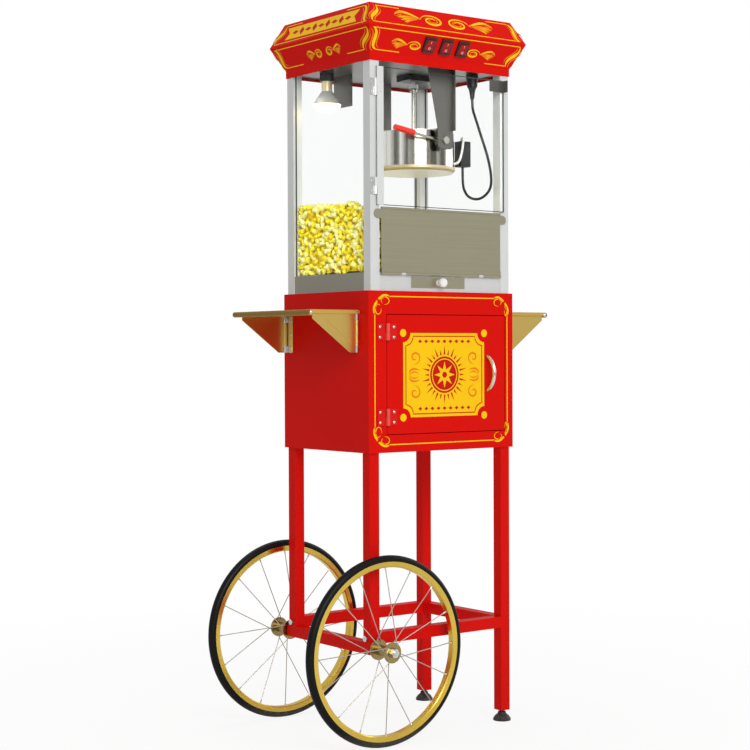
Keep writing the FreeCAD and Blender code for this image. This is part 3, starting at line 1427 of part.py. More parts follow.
def make_hangers():
    """Tapered plates from the ceiling, bored for the pivot pins, each with a folded edge."""
    right = size.hanger_right
    bottom = pivot_z - size.hanger_below_pivot
    corner = size.hanger_corner
    left = -size.hanger_bottom_left
    points = (
        (-size.hanger_top_left, ceiling), (right, ceiling), (right, bottom + corner),
        (right - corner, bottom), (left + corner, bottom), (left, bottom + corner),
        (left, pivot_z + size.hanger_waist),
    )
    hangers = []
    for end, word in ((-1, "front"), (1, "rear")):
        near = size.hanger_stand
        middle = (near + size.hanger_sheet / 2) * end
        web = plate(f"{word}_hanger_web", "XZ_Plane", points, size.hanger_sheet, (kettle_x, middle, 0))
        fold_x = (kettle_x + right - size.hanger_sheet, kettle_x + right)
        fold = block(f"{word}_hanger_fold", fold_x, side_span(end, near, near + size.hanger_flange),
                     (pivot_z + size.hanger_waist, ceiling))
        bore = rod(f"{word}_hanger_bore", "y", (kettle_x, pivot_z),
                   side_span(end, near, near + size.hanger_sheet), size.pivot_pin_radius + size.running_gap)
        hangers.append(cut(f"{word}_hanger", fuse(f"{word}_hanger_stock", web, fold), bore))
    node("kettle_hangers", group("kettle_hangers", hangers))


def make_terminal():
    """The kettle's connector box, held off the pot by a stud."""
    middle = kettle_x + terminal_x
    half = size.terminal_width / 2
    box = block("terminal_case", (middle - half, middle + half),
                (size.terminal_y - size.terminal_depth / 2, size.terminal_y + size.terminal_depth / 2),
                (terminal_low, terminal_low + size.terminal_height))
    start = root(size.pot_radius * size.pot_radius - size.terminal_y * size.terminal_y)
    stud = rod("terminal_stud", "x", (size.terminal_y, terminal_low + size.terminal_stud_lift),
               (kettle_x + start - size.pot_wall / 2, middle - half), size.terminal_stud_radius)
    node("terminal_box", fuse("terminal_box", box, stud))


make_cabinet()
make_cabinet_door()
make_bow_handle()
make_undercarriage()
make_feet()
make_wheels()
make_shelves()
make_base(make_posts())
make_drawer()
make_glass()
make_flap()
make_clear_door()
make_canopy()
make_switches()
make_lamp_and_sockets()
make_drive()
make_pot()
make_bridge()
for lid_side, lid_hand in ((-1, "left"), (1, "right")):
    make_lid(lid_side, lid_hand)
make_stirrer()
make_kettle_handle()
make_hangers()
make_terminal()
make_lead()

# Check every piece, then write it

doc.recompute()
faults = [item.Name for item in doc.Objects if "Invalid" in item.State or "Error" in item.State]
for label, item in nodes.items():
    if item.Shape.isNull() or not item.Shape.isValid() or not item.Shape.Solids:
        faults.append(label)
if faults:
    raise RuntimeError(f"pieces that failed: {', '.join(faults)}")
os.makedirs("parts", exist_ok=True)
for label, item in nodes.items():
    item.Shape.exportStep(os.path.join("parts", f"{label}.step"))
print(f"{len(nodes)} pieces written")
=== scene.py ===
# %% [markdown]
# A popcorn cart, dressed. The rigid parts arrive as a fixed frame in metres, with the floor at
# Z = 0 and the doors facing -Y. This lesson adds the camera, the light, the finishes, the kettle's
# lead, the painted ornament, the popcorn and the small hardware.

# %% Load the frame
import json
import math
import random

import bmesh
import bpy
from mathutils import Matrix, Vector

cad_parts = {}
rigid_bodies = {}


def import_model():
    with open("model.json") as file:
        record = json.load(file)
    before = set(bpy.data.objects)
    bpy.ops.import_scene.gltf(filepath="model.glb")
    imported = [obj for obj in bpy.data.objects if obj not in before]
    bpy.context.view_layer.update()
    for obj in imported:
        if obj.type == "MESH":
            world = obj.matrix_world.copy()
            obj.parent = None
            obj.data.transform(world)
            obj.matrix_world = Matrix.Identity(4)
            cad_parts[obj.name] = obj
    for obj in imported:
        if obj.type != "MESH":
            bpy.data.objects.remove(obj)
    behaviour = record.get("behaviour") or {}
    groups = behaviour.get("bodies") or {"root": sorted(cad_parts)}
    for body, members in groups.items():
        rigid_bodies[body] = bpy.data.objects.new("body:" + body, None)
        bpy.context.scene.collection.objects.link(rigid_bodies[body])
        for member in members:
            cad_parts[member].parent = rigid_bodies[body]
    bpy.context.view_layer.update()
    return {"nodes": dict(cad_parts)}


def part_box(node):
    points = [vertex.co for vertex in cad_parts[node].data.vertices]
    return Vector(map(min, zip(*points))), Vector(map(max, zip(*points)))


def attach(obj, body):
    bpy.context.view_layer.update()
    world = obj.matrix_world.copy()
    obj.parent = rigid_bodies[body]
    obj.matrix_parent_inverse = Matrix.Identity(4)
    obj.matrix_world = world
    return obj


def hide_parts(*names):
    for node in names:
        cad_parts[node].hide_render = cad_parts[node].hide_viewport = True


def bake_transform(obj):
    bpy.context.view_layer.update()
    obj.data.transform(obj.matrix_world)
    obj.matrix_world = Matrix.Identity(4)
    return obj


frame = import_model()
nodes = frame["nodes"]
scene = bpy.context.scene
MM = 0.001
print("pieces in the frame:", len(nodes))

# %% [markdown]
# A few helpers serve every later cell. A finished piece sits at the origin with its place in its
# mesh, wears one finish and rides on a named body. Finishes are made later and kept by name.

# %% Helpers for pieces
MERGE = 1e-6
finishes = {}


def linked(name, data):
    """A new object in the scene."""
    item = bpy.data.objects.new(name, data)
    scene.collection.objects.link(item)
    return item


def dress(mesh, finish):
    """Give a mesh one finish, by its name."""
    mesh.materials.clear()
    mesh.materials.append(finishes[finish])


def shade(mesh, smooth=True):
    """Shade every face smooth or flat."""
    for face in mesh.polygons:
        face.use_smooth = smooth


def add_piece(name, mesh, finish, body, smooth=True):
    """Link a mesh as a piece that moves with a body of the frame."""
    piece = linked(name, mesh)
    if finish:
        dress(mesh, finish)
    shade(mesh, smooth)
    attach(piece, body)


def mesh_from(name, points, faces):
    """A plain mesh from corner points and faces."""
    mesh = bpy.data.meshes.new(name)
    mesh.from_pydata([tuple(point) for point in points], [], faces)
    mesh.update()
    return mesh


def finished(mesh):
    """Merge doubles and turn every face outwards."""
    work = bmesh.new()
    work.from_mesh(mesh)
    bmesh.ops.remove_doubles(work, verts=work.verts, dist=MERGE)
    bmesh.ops.recalc_face_normals(work, faces=work.faces)
    work.to_mesh(mesh)
    work.free()
    return mesh


print("helpers for pieces ready")

# %% [markdown]
# The camera stands where the photograph was taken from. A least-squares fit to the edges of the
# cabinet and the canopy gave its place, its lens and three turns: yaw, pitch and a little roll.
# Building the rotation from three axis vectors keeps the roll exact.

# %% Camera
CABINET_X = sum(corner[0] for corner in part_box("cabinet_front")) / 2
CAMERA_AT = Vector((CABINET_X - 2.3269, -3.0196, 0.8369))
CAMERA_LENS, SENSOR_WIDTH, SIGHT = 80.82, 36, 60
YAW, PITCH, ROLL = (math.radians(turn) for turn in (36.8235, -0.8078, -0.2226))

ahead = Vector((math.sin(YAW) * math.cos(PITCH), math.cos(YAW) * math.cos(PITCH), math.sin(PITCH)))
level_right = Vector((math.cos(YAW), -math.sin(YAW), 0))
level_up = level_right.cross(ahead)
right = level_right * math.cos(ROLL) + level_up * math.sin(ROLL)
up = level_up * math.cos(ROLL) - level_right * math.sin(ROLL)
camera_data = bpy.data.cameras.new("photo_camera")
camera_data.lens = CAMERA_LENS
camera_data.sensor_width = SENSOR_WIDTH
camera_data.clip_end = SIGHT
camera = linked("photo_camera", camera_data)
turn = Matrix((right, up, -ahead)).transposed()
camera.matrix_world = Matrix.Translation(CAMERA_AT) @ turn.to_4x4()
scene.camera = camera
print("camera at", tuple(round(value, 3) for value in CAMERA_AT))

# %% [markdown]
# All shader and geometry trees are built with the same few helpers. A node is made in one call, and
# each of its inputs takes a plain value or another node's socket.

# %% Helpers for node trees
WHITE, BLACK = (1, 1, 1, 1), (0, 0, 0, 1)


def feed(item, inputs):
    """Fill a node's inputs, each with a plain value or another node's socket."""
    for key, value in inputs.items():
        if isinstance(value, bpy.types.NodeSocket):
            item.id_data.links.new(value, item.inputs[key])
        else:
            item.inputs[key].default_value = value


def add_node(tree, kind, inputs, **settings):
    """A node with its settings and its inputs."""
    item = tree.nodes.new(kind)
    for label, value in settings.items():
        setattr(item, label, value)
    feed(item, inputs)
    return item


def add_math(tree, operation, first, second=0.0):
    """A math node; returns its output."""
    return add_node(tree, "ShaderNodeMath", {0: first, 1: second}, operation=operation).outputs[0]


def add_mix(tree, share, first, second):
    """A mix of two colours; returns its output."""
    inputs = {0: share, 6: first, 7: second}
    return add_node(tree, "ShaderNodeMix", inputs, data_type="RGBA").outputs[2]


def add_noise(tree, vector, scale, detail=3.0):
    """A noise texture; returns its value."""
    inputs = {"Vector": vector, "Scale": scale, "Detail": detail}
    return add_node(tree, "ShaderNodeTexNoise", inputs).outputs["Fac"]


def add_ramp(tree, factor, stops):
    """A colour ramp through stops of position and colour; returns its colour."""
    item = add_node(tree, "ShaderNodeValToRGB", {"Fac": factor})
    elements = item.color_ramp.elements
    for position, colour in stops[1:-1]:
        elements.new(position)
    for element, (position, colour) in zip(elements, stops):
        element.position = position
        element.color = colour
    return item.outputs["Color"]


def object_place(tree):
    """The place of a point on its piece, as a vector."""
    return add_node(tree, "ShaderNodeTexCoord", {}).outputs["Object"]


def place_axes(tree):
    """The same place as its three axes."""
    return add_node(tree, "ShaderNodeSeparateXYZ", {0: object_place(tree)}).outputs


print("helpers for node trees ready")

# %% [markdown]
# The light is plain and soft: one large key lamp from the front, a weaker fill on the right
# and a top lamp. The world lights the object at a middle level, but the camera and anything seen
# through glass meet white, and gloss meets a share of it. The floor also shows white, more so
# further out, so it keeps a faint shadow round the wheels and has no horizon.

# %% Light, world and floor
scene.view_settings.view_transform = "Standard"
WORLD_LEVEL, GLOSS_LEVEL = 0.45, 0.35
FLOOR_HALF, FLOOR_TONE = 12, (0.9, 0.9, 0.9, 1)
FLOOR_NEAR, FLOOR_FAR, FLOOR_SHOWN = 0.45, 1.9, 0.86
CART_MIDDLE = (0, 0, 0.9)


def emptied(holder):
    """The node tree of a world or a material with only its light path, and that node's outputs."""
    holder.use_nodes = True
    tree = holder.node_tree
    tree.nodes.clear()
    return tree, add_node(tree, "ShaderNodeLightPath", {}).outputs


def show_either(tree, share, first, second, out):
    """Mix two shaders by a share and lead them to an output node."""
    mix = add_node(tree, "ShaderNodeMixShader", {0: share, 1: first.outputs[0], 2: second.outputs[0]})
    add_node(tree, out, {"Surface": mix.outputs[0]})


def add_lamp(name, place, power, width):
    """A square area lamp aimed at the middle of the cart."""
    data = bpy.data.lights.new(name, "AREA")
    data.energy = power
    data.size = width
    aim = (Vector(CART_MIDDLE) - Vector(place)).to_track_quat("-Z", "Y")
    linked(name, data).matrix_world = Matrix.Translation(place) @ aim.to_matrix().to_4x4()


scene.world = bpy.data.worlds.new("studio")
tree, ray = emptied(scene.world)
gloss = add_math(tree, "MULTIPLY", ray["Is Glossy Ray"], GLOSS_LEVEL)
seen = add_math(tree, "MAXIMUM", ray["Is Camera Ray"], gloss)
seen = add_math(tree, "MAXIMUM", seen, ray["Is Transmission Ray"])
dim_sky = add_node(tree, "ShaderNodeBackground", {"Color": WHITE, "Strength": WORLD_LEVEL})
white_sky = add_node(tree, "ShaderNodeBackground", {"Color": WHITE})
show_either(tree, seen, dim_sky, white_sky, "ShaderNodeOutputWorld")

add_lamp("key", (-1.3, -4.0, 2.6), power=112, width=2.4)
add_lamp("fill", (3.7, -0.4, 1.9), power=25, width=2.2)
add_lamp("top", (0.2, 0.6, 3.8), power=30, width=2.0)

finishes["pale_floor"] = bpy.data.materials.new("pale_floor")
tree, ray = emptied(finishes["pale_floor"])
reach = add_node(tree, "ShaderNodeVectorMath", {0: object_place(tree)}, operation="LENGTH")
fade = add_node(tree, "ShaderNodeMapRange", {
    "Value": reach.outputs["Value"], "From Min": FLOOR_NEAR, "From Max": FLOOR_FAR,
    "To Min": FLOOR_SHOWN, "To Max": 1.0})
seen = add_math(tree, "MAXIMUM", ray["Is Camera Ray"], ray["Is Transmission Ray"])
share = add_math(tree, "MULTIPLY", seen, fade.outputs["Result"])
matte = add_node(tree, "ShaderNodeBsdfDiffuse", {"Color": FLOOR_TONE})
glow = add_node(tree, "ShaderNodeEmission", {"Color": WHITE})
show_either(tree, share, matte, glow, "ShaderNodeOutputMaterial")
corners = [(x * FLOOR_HALF, y * FLOOR_HALF, 0) for x, y in ((-1, -1), (1, -1), (1, 1), (-1, 1))]
floor = linked("floor", mesh_from("floor", corners, [(0, 1, 2, 3)]))
dress(floor.data, "pale_floor")
print("lamps:", len(bpy.data.lights))

# %% [markdown]
# Three effects are shared by many finishes, so each is a shader node group that is built once.
# Uneven finish gives paint and plastic their slight drift of tone and gloss. Brushed lines
# stretches a noise along one direction, as rolled or brushed sheet metal shows. Settled dust
# pales what is close to the floor.

# %% Shared shader groups
SOCKET_KINDS = {3: "NodeSocketVector", 4: "NodeSocketColor"}
FINISH_OUTPUTS = ("Colour", "Roughness", "Height")
NOISE_MIDDLE, SMEAR_SCALE, SPECK_SCALE = 0.5, 4.0, 120.0
LINE_SHADE, CLOUD_SHADE = (0.05, 0.05, 0.04, 1), (0.1, 0.09, 0.07, 1)
CLOUD_SCALE, CLOUD_SHARE = 9.0, 0.16


def spaced(values):
    """Keyword values under their sockets' names, which have spaces."""
    return {label.replace("_", " "): value for label, value in values.items()}


def new_group(name, outputs, **inputs):
    """An empty shader node group; a long value makes a colour socket, a short one a vector."""
    group = bpy.data.node_groups.new(name, "ShaderNodeTree")
    for label, value in spaced(inputs).items():
        kind = SOCKET_KINDS[len(value)] if isinstance(value, tuple) else "NodeSocketFloat"
        group.interface.new_socket(label, in_out="INPUT", socket_type=kind).default_value = value
    for label in outputs:
        kind = "NodeSocketColor" if label == "Colour" else "NodeSocketFloat"
        group.interface.new_socket(label, in_out="OUTPUT", socket_type=kind)
    return group, group.nodes.new("NodeGroupInput").outputs, group.nodes.new("NodeGroupOutput")


def drifted(tree, noise, given):
    """A roughness that drifts about its level with a noise."""
    spread = add_math(tree, "SUBTRACT", noise, NOISE_MIDDLE)
    spread = add_math(tree, "MULTIPLY", spread, given["Gloss Drift"])
    return add_math(tree, "ADD", given["Gloss"], spread)


uneven, given, shown = new_group("uneven_finish", FINISH_OUTPUTS, Colour=(0.5, 0.5, 0.5, 1), Drift=0.1,
                                 Gloss=0.3, Gloss_Drift=0.1, Patches=6.0, Grain=400.0)
where = object_place(uneven)
patches = add_noise(uneven, where, given["Patches"])
dark = add_math(uneven, "MULTIPLY", patches, given["Drift"])
smear_scale = add_math(uneven, "MULTIPLY", given["Patches"], SMEAR_SCALE)
smears = add_noise(uneven, where, smear_scale, detail=5.0)
feed(shown, {
    "Colour": add_mix(uneven, dark, given["Colour"], BLACK),
    "Roughness": drifted(uneven, smears, given),
    "Height": add_noise(uneven, where, given["Grain"], detail=2.0)})

brushed, given, shown = new_group("brushed_lines", FINISH_OUTPUTS, Colour=(0.6, 0.6, 0.6, 1), Contrast=0.2,
                                  Gloss=0.3, Gloss_Drift=0.15, Stretch=(4, 600, 600))
where = object_place(brushed)
drawn = add_node(brushed, "ShaderNodeVectorMath", {0: where, 1: given["Stretch"]}, operation="MULTIPLY")
lines = add_noise(brushed, drawn.outputs[0], 1.0, detail=4.0)
clouds = add_noise(brushed, where, CLOUD_SCALE, detail=4.0)
dark = add_math(brushed, "MULTIPLY", lines, given["Contrast"])
lined = add_mix(brushed, dark, given["Colour"], LINE_SHADE)
dull = add_math(brushed, "MULTIPLY", clouds, CLOUD_SHARE)
feed(shown, {
    "Colour": add_mix(brushed, dull, lined, CLOUD_SHADE),
    "Roughness": drifted(brushed, lines, given),
    "Height": lines})

dusty, given, shown = new_group("settled_dust", ("Colour",), Colour=(0.1, 0.1, 0.1, 1),
                                Dust=(0.35, 0.32, 0.28, 1), Amount=0.4, Reach=0.08)
fade = add_math(dusty, "DIVIDE", place_axes(dusty)["Z"], given["Reach"])
low = add_node(dusty, "ShaderNodeClamp", {0: add_math(dusty, "SUBTRACT", 1.0, fade)})
specks = add_noise(dusty, object_place(dusty), SPECK_SCALE, detail=5.0)
mask = add_math(dusty, "MULTIPLY", low.outputs[0], specks)
mask = add_math(dusty, "MULTIPLY", mask, given["Amount"])
feed(shown, {"Colour": add_mix(dusty, mask, given["Colour"], given["Dust"])})
print("shared groups:", uneven.name, brushed.name, dusty.name)

# %% [markdown]
# The materials follow the cart's own finishes. Each has one Principled BSDF with plain constants
# on its sockets, and takes its changing colour, roughness and relief from the shared groups.

# %% Finishes
PAINT_RELIEF, PAINT_DEPTH, METAL_DEPTH = 0.03, 0.0004, 0.0003
DRIFT_OF_GLOSS = 0.5
ALONG_X, ALONG_Y, ALONG_Z = (5, 700, 700), (700, 5, 700), (700, 700, 5)
CLOUDED, GRAINED = (240, 240, 240), (300, 300, 300)
RED = (0.7, 0.006, 0.003)


def new_finish(name, **constants):
    """A material with one Principled BSDF; constants are set on the shader's own sockets."""
    material = bpy.data.materials.new(name)
    material.use_nodes = True
    finishes[name] = material
    shader = material.node_tree.nodes["Principled BSDF"]
    feed(shader, spaced(constants))
    return material.node_tree, shader


def place_group(tree, group, **values):
    """A shared group with this material's own values."""
    return add_node(tree, "ShaderNodeGroup", spaced(values), node_tree=group)


def wear(shader, finish, relief=0.0, depth=0.0, colour=None):
    """Lead a group's colour, roughness and relief to a shader; another colour may stand in."""
    outputs = finish.outputs
    base = outputs["Colour"] if colour is None else colour
    feed(shader, {"Base Color": base, "Roughness": outputs["Roughness"]})
    if relief:
        inputs = {"Strength": relief, "Distance": depth, "Height": outputs["Height"]}
        feed(shader, {"Normal": add_node(shader.id_data, "ShaderNodeBump", inputs).outputs[0]})


def painted(name, colour, gloss, drift, grain=260.0, relief=PAINT_RELIEF, **constants):
    """A finish whose tone and gloss drift a little over the surface."""
    tree, shader = new_finish(name, **constants)
    finish = place_group(tree, uneven, Colour=(*colour, 1), Drift=drift, Gloss=gloss,
                         Gloss_Drift=gloss * DRIFT_OF_GLOSS, Grain=grain)
    wear(shader, finish, relief, PAINT_DEPTH)


def rolled(name, colour, gloss, contrast, stretch, relief, drift=0.15, metallic=1.0):
    """A metal with lines drawn along one direction; a matt one is only partly metallic."""
    tree, shader = new_finish(name, Metallic=metallic)
    finish = place_group(tree, brushed, Colour=(*colour, 1), Contrast=contrast, Gloss=gloss,
                         Gloss_Drift=drift, Stretch=stretch)
    wear(shader, finish, relief, METAL_DEPTH)


# After each colour: gloss, drift of tone, and then any grain and relief of its own.
painted("red_enamel", RED, 0.38, 0.14, Specular_IOR_Level=0.05)
painted("yellow_paint", (0.94, 0.56, 0.004), 0.4, 0.1, Specular_IOR_Level=0.12)
painted("amber_paint", (0.84, 0.22, 0.008), 0.4, 0.12, Specular_IOR_Level=0.12)
painted("scarlet_paint", (0.56, 0.008, 0.004), 0.4, 0.12, Specular_IOR_Level=0.12)
painted("cream_paint", (0.8, 0.76, 0.66), 0.4, 0.08)
painted("black_plastic", (0.012, 0.012, 0.013), 0.42, 0.3, 900.0, 0.12)
painted("white_plastic", (0.82, 0.82, 0.8), 0.28, 0.05)
painted("red_plastic", (0.62, 0.012, 0.008), 0.3, 0.1)
painted("rocker_red", (0.34, 0.006, 0.005), 0.3, 0.1, Specular_IOR_Level=0.2)
painted("cord_rubber", (0.014, 0.014, 0.014), 0.48, 0.3, 1200.0, 0.1)
painted("white_sleeve", (0.75, 0.75, 0.72), 0.4, 0.15, 700.0, 0.12)
painted("pane_edge", (0.03, 0.045, 0.04), 0.4, 0.2)
# After each colour: gloss, contrast and stretch of the lines, relief, and any drift of its own.
rolled("gold_sheet", (0.92, 0.65, 0.17), 0.32, 0.16, ALONG_Y, 0.03, 0.1)
rolled("gold_rim", (0.9, 0.64, 0.1), 0.22, 0.12, (90, 90, 90), 0.02, 0.1)
rolled("hub_brass", (0.44, 0.34, 0.13), 0.26, 0.3, GRAINED, 0.04, 0.1)
rolled("wire_steel", (0.58, 0.56, 0.5), 0.3, 0.15, GRAINED, 0.02, 0.1)
rolled("bright_steel", (0.8, 0.8, 0.79), 0.14, 0.08, CLOUDED, 0.02, 0.08)
rolled("flap_steel", (0.53, 0.495, 0.35), 0.42, 0.3, ALONG_X, 0.09)
rolled("lid_steel", (0.62, 0.61, 0.55), 0.22, 0.22, (160, 160, 900), 0.05)
rolled("hanger_steel", (0.2, 0.195, 0.18), 0.36, 0.25, ALONG_Z, 0.06)
rolled("tray_steel", (0.76, 0.76, 0.75), 0.42, 0.16, ALONG_X, 0.05, metallic=0.35)
rolled("post_aluminium", (0.78, 0.795, 0.785), 0.42, 0.12, ALONG_Z, 0.04, metallic=0.25)
print("finishes so far:", len(finishes))

# %% [markdown]
# Tyres and feet share rubber, which is never one black: its tone and gloss drift, and the parts near
# the floor hold dust. Clear panes are thin, so they use full transmission with hardly a tint. The
# polished pot has painted reflections: light and dark bands round its wall that follow the heading
# from its own axis. The lamp has a mask by height: a brass ring, a silvered cup and a lit face. Five
# more have a second tone in a band: the axle beam is bare steel where the wheels run, the hinges have
# a painted highlight along their knuckles, the popper's base has painted shade on its ends, darker
# than its front, the heater is pale underneath, and each shelf has painted shade along its outer edge.

# %% Rubber, panes and masked finishes
TYRE_BLACK = (0.004, 0.004, 0.0045, 1)
POT_REFLECTION_STOPS, POT_REFLECTION_BANDS = ((0.4, (0.13, 0.125, 0.1, 1)), (0.56, (0.84, 0.83, 0.78, 1))), 2.6
LAMP_FACE, LAMP_RING, LAMP_GLOSS = 0.016, 0.02, 0.4
LAMP_SILVER, LAMP_BRASS = (0.78, 0.77, 0.73, 1), (0.8, 0.66, 0.36, 1)
LAMP_WARM, LAMP_GLOW = (1.0, 0.86, 0.55, 1), (1.0, 0.82, 0.45, 1)
BEAM_HALF, KNUCKLE, SIDE_SHEET, SHELF_EDGE = 0.1632, 0.0042, 0.001, 0.004

tree, shader = new_finish("tyre_rubber", Specular_IOR_Level=0.16)
finish = place_group(tree, uneven, Colour=TYRE_BLACK, Drift=0.3, Gloss=0.4, Gloss_Drift=0.2, Grain=520.0)
dust = place_group(tree, dusty, Colour=finish.outputs["Colour"], Amount=0.3, Reach=0.05)
wear(shader, finish, relief=0.2, depth=0.0005, colour=dust.outputs["Colour"])

for name, gloss, tint in (("window_pane", 0.01, (0.99, 1.0, 0.995, 1)),
                          ("door_pane", 0.02, (0.985, 0.99, 0.985, 1))):
    tree, shader = new_finish(name, Transmission_Weight=1.0, IOR=1.08)
    wear(shader, place_group(tree, uneven, Colour=tint, Drift=0.03, Gloss=gloss, Gloss_Drift=0.02,
                             Patches=3.0))

pot_low, pot_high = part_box("kettle_pot")
POT_MIDDLE_X, POT_RADIUS = (pot_low.x + pot_high.x) / 2, (pot_high.x - pot_low.x) / 2
# The light and dark bands round the pot are painted reflections of the room in its polished wall.
tree, shader = new_finish("pot_steel_painted_reflections", Metallic=1.0)
centred = add_node(tree, "ShaderNodeMapping", {
    "Location": (-POT_MIDDLE_X, 0, 0), "Vector": object_place(tree)})
flat = add_node(tree, "ShaderNodeVectorMath", {0: centred.outputs[0], 1: (1, 1, 0)}, operation="MULTIPLY")
heading = add_node(tree, "ShaderNodeVectorMath", {0: flat.outputs[0]}, operation="NORMALIZE")
painted_reflections = add_noise(tree, heading.outputs[0], POT_REFLECTION_BANDS)
finish = place_group(tree, uneven, Gloss=0.16, Gloss_Drift=0.14, Patches=14.0)
wear(shader, finish, colour=add_ramp(tree, painted_reflections, POT_REFLECTION_STOPS))

bulb_low, bulb_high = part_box("lamp_bulb")
tree, shader = new_finish("lamp_glass", Roughness=0.2, Emission_Strength=3.0)
height = place_axes(tree)["Z"]
lit = add_math(tree, "LESS_THAN", height, bulb_low.z + LAMP_FACE)
ringed = add_math(tree, "GREATER_THAN", height, bulb_high.z - LAMP_RING)
cup = add_mix(tree, ringed, LAMP_SILVER, LAMP_BRASS)
feed(shader, {
    "Base Color": add_mix(tree, lit, cup, LAMP_WARM),
    "Emission Color": add_mix(tree, lit, BLACK, LAMP_GLOW),
    "Metallic": add_math(tree, "MULTIPLY", add_math(tree, "SUBTRACT", 1.0, lit), LAMP_GLOSS)})


def two_tone(name, band, other, group, values, bare=False, **constants):
    """A shared group's finish with a second colour where a point lies in a band of one axis."""
    tree, shader = new_finish(name, **constants)
    axis, middle, operation, limit = band
    away = add_math(tree, "ABSOLUTE", add_math(tree, "SUBTRACT", place_axes(tree)[axis], middle))
    inside = add_math(tree, operation, away, limit)
    finish = place_group(tree, group, **values)
    both = add_mix(tree, inside, finish.outputs["Colour"], (*other, 1))
    wear(shader, finish, PAINT_RELIEF, PAINT_DEPTH, both)
    if bare:
        feed(shader, {"Metallic": inside})


enamel = {"Colour": (*RED, 1), "Drift": 0.14, "Gloss": 0.38, "Gloss_Drift": 0.15}
base = {"Colour": (0.76, 0.76, 0.75, 1), "Contrast": 0.16, "Gloss": 0.42, "Stretch": ALONG_X}
heater = {"Colour": (0.52, 0.43, 0.26, 1), "Contrast": 0.2, "Gloss": 0.4, "Stretch": (220, 220, 220)}
gold = {"Colour": (0.7, 0.46, 0.1, 1), "Contrast": 0.2, "Gloss": 0.55, "Stretch": ALONG_Y}
hinge_x = (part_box("door_hinge_leaves")[0].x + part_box("door_hinge_bases")[1].x) / 2
tray_low, tray_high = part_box("base_tray")
tray_half = CABINET_X - tray_low.x
shelf_reach = CABINET_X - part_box("left_shelf")[0].x
two_tone("axle_finish", ("Y", 0.0, "GREATER_THAN", BEAM_HALF), (0.7, 0.68, 0.62), uneven, enamel,
         bare=True, Specular_IOR_Level=0.05)
# The lighter red band along each hinge knuckle is a painted highlight, where the round barrel catches the
# lamps.
two_tone("hinge_enamel_painted_highlight", ("X", hinge_x, "LESS_THAN", KNUCKLE), (0.76, 0.08, 0.06), uneven, enamel,
         Specular_IOR_Level=0.2)
# The darker colour on the base's ends is painted shade, where those sides are turned from the lamps.
two_tone("base_steel_painted_shade", ("X", CABINET_X, "GREATER_THAN", tray_half - SIDE_SHEET), (0.3, 0.29, 0.245),
         brushed, base, Metallic=0.35)
two_tone("heater_metal", ("Z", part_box("kettle_heater")[0].z, "LESS_THAN", SIDE_SHEET), (0.8, 0.8, 0.77),
         brushed, heater, Metallic=0.4)
# The dark band along each shelf's outer edge is painted shade: that edge faces away from the key lamp.
two_tone("shelf_gold_painted_shade", ("X", CABINET_X, "GREATER_THAN", shelf_reach - SHELF_EDGE), (0.27, 0.17, 0.035),
         brushed, gold, Metallic=0.6, Specular_IOR_Level=0.2)
print("rubber, panes, lamp and masked finishes made")

# %% [markdown]
# Every piece of the frame gets its finish here. The panes cast no shadow, as thin clear glass does
# not, so the lamps reach the popcorn behind them.

# %% Dress the frame's own pieces
WEARS = {
    "red_enamel": "cabinet_wrap cabinet_front cabinet_door cart_legs lower_rails canopy_shell",
    "hinge_enamel_painted_highlight": "door_hinge_bases door_hinge_leaves",
    "axle_finish": "axle_beam",
    "gold_sheet": "left_front_bracket left_rear_bracket right_front_bracket right_rear_bracket",
    "shelf_gold_painted_shade": "left_shelf right_shelf",
    "gold_rim": "front_rim rear_rim",
    "wire_steel": "front_spokes rear_spokes",
    "hub_brass": "front_hub rear_hub",
    "bright_steel": "cart_fasteners shelf_hinges clear_door_hinges door_handle",
    "flap_steel": "serving_flap crumb_drawer",
    "pot_steel_painted_reflections": "kettle_pot",
    "lid_steel": "left_lid right_lid kettle_bridge stirrer kettle_handle",
    "hanger_steel": "kettle_hangers ceiling_plate door_pull",
    "tray_steel": "cabinet_pans",
    "base_steel_painted_shade": "base_tray",
    "post_aluminium": "corner_posts clear_door_stile drive_coupling",
    "heater_metal": "kettle_heater",
    "black_plastic": "switch_bezels sockets stir_motor cord_plug terminal_box",
    "white_plastic": "drawer_knob",
    "red_plastic": "handle_grip",
    "rocker_red": "left_rocker middle_rocker right_rocker",
    "window_pane": "window_glass",
    "door_pane": "clear_door",
    "tyre_rubber": "front_tyre rear_tyre front_foot rear_foot",
    "lamp_glass": "lamp_bulb",
    "cord_rubber": "kettle_cord",
}
for finish, names in WEARS.items():
    for name in names.split():
        dress(nodes[name].data, finish)
for name in ("window_glass", "clear_door"):
    nodes[name].visible_shadow = False
undressed = [name for name, item in nodes.items() if item.data.materials[0] not in finishes.values()]
print("pieces without a finish:", undressed)

# %% [markdown]
# The kettle's lead runs from the terminal box down, round and up to a plug in the ceiling. Its
# route is a handful of points, and a smooth spline drawn through their pull makes it hang like a
# flexible cord.

# %% The kettle's lead
CORD_WIDTH, TERMINAL_HALF = 0.006, 0.014
RELIEF = Vector((0, 0, 0.022))
LEAD_STEPS = ((0, 0, -26), (-6, -10, -52), (-8, -32, -74), (-4, -66, -80), (2, -94, -62), (-2, -105, -34),
              (-13, -104, 14), (-25, -94, 62), (-24, -74, 104))
box_low, box_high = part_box("terminal_box")
plug_low, plug_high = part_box("cord_plug")
lead_start = Vector((box_high.x - TERMINAL_HALF, (box_low.y + box_high.y) / 2, box_low.z))
lead_end = Vector(((plug_low.x + plug_high.x) / 2, (plug_low.y + plug_high.y) / 2, plug_low.z))
route = [lead_start] + [lead_start + Vector(step) * MM for step in LEAD_STEPS]
route += [lead_end - RELIEF, lead_end]


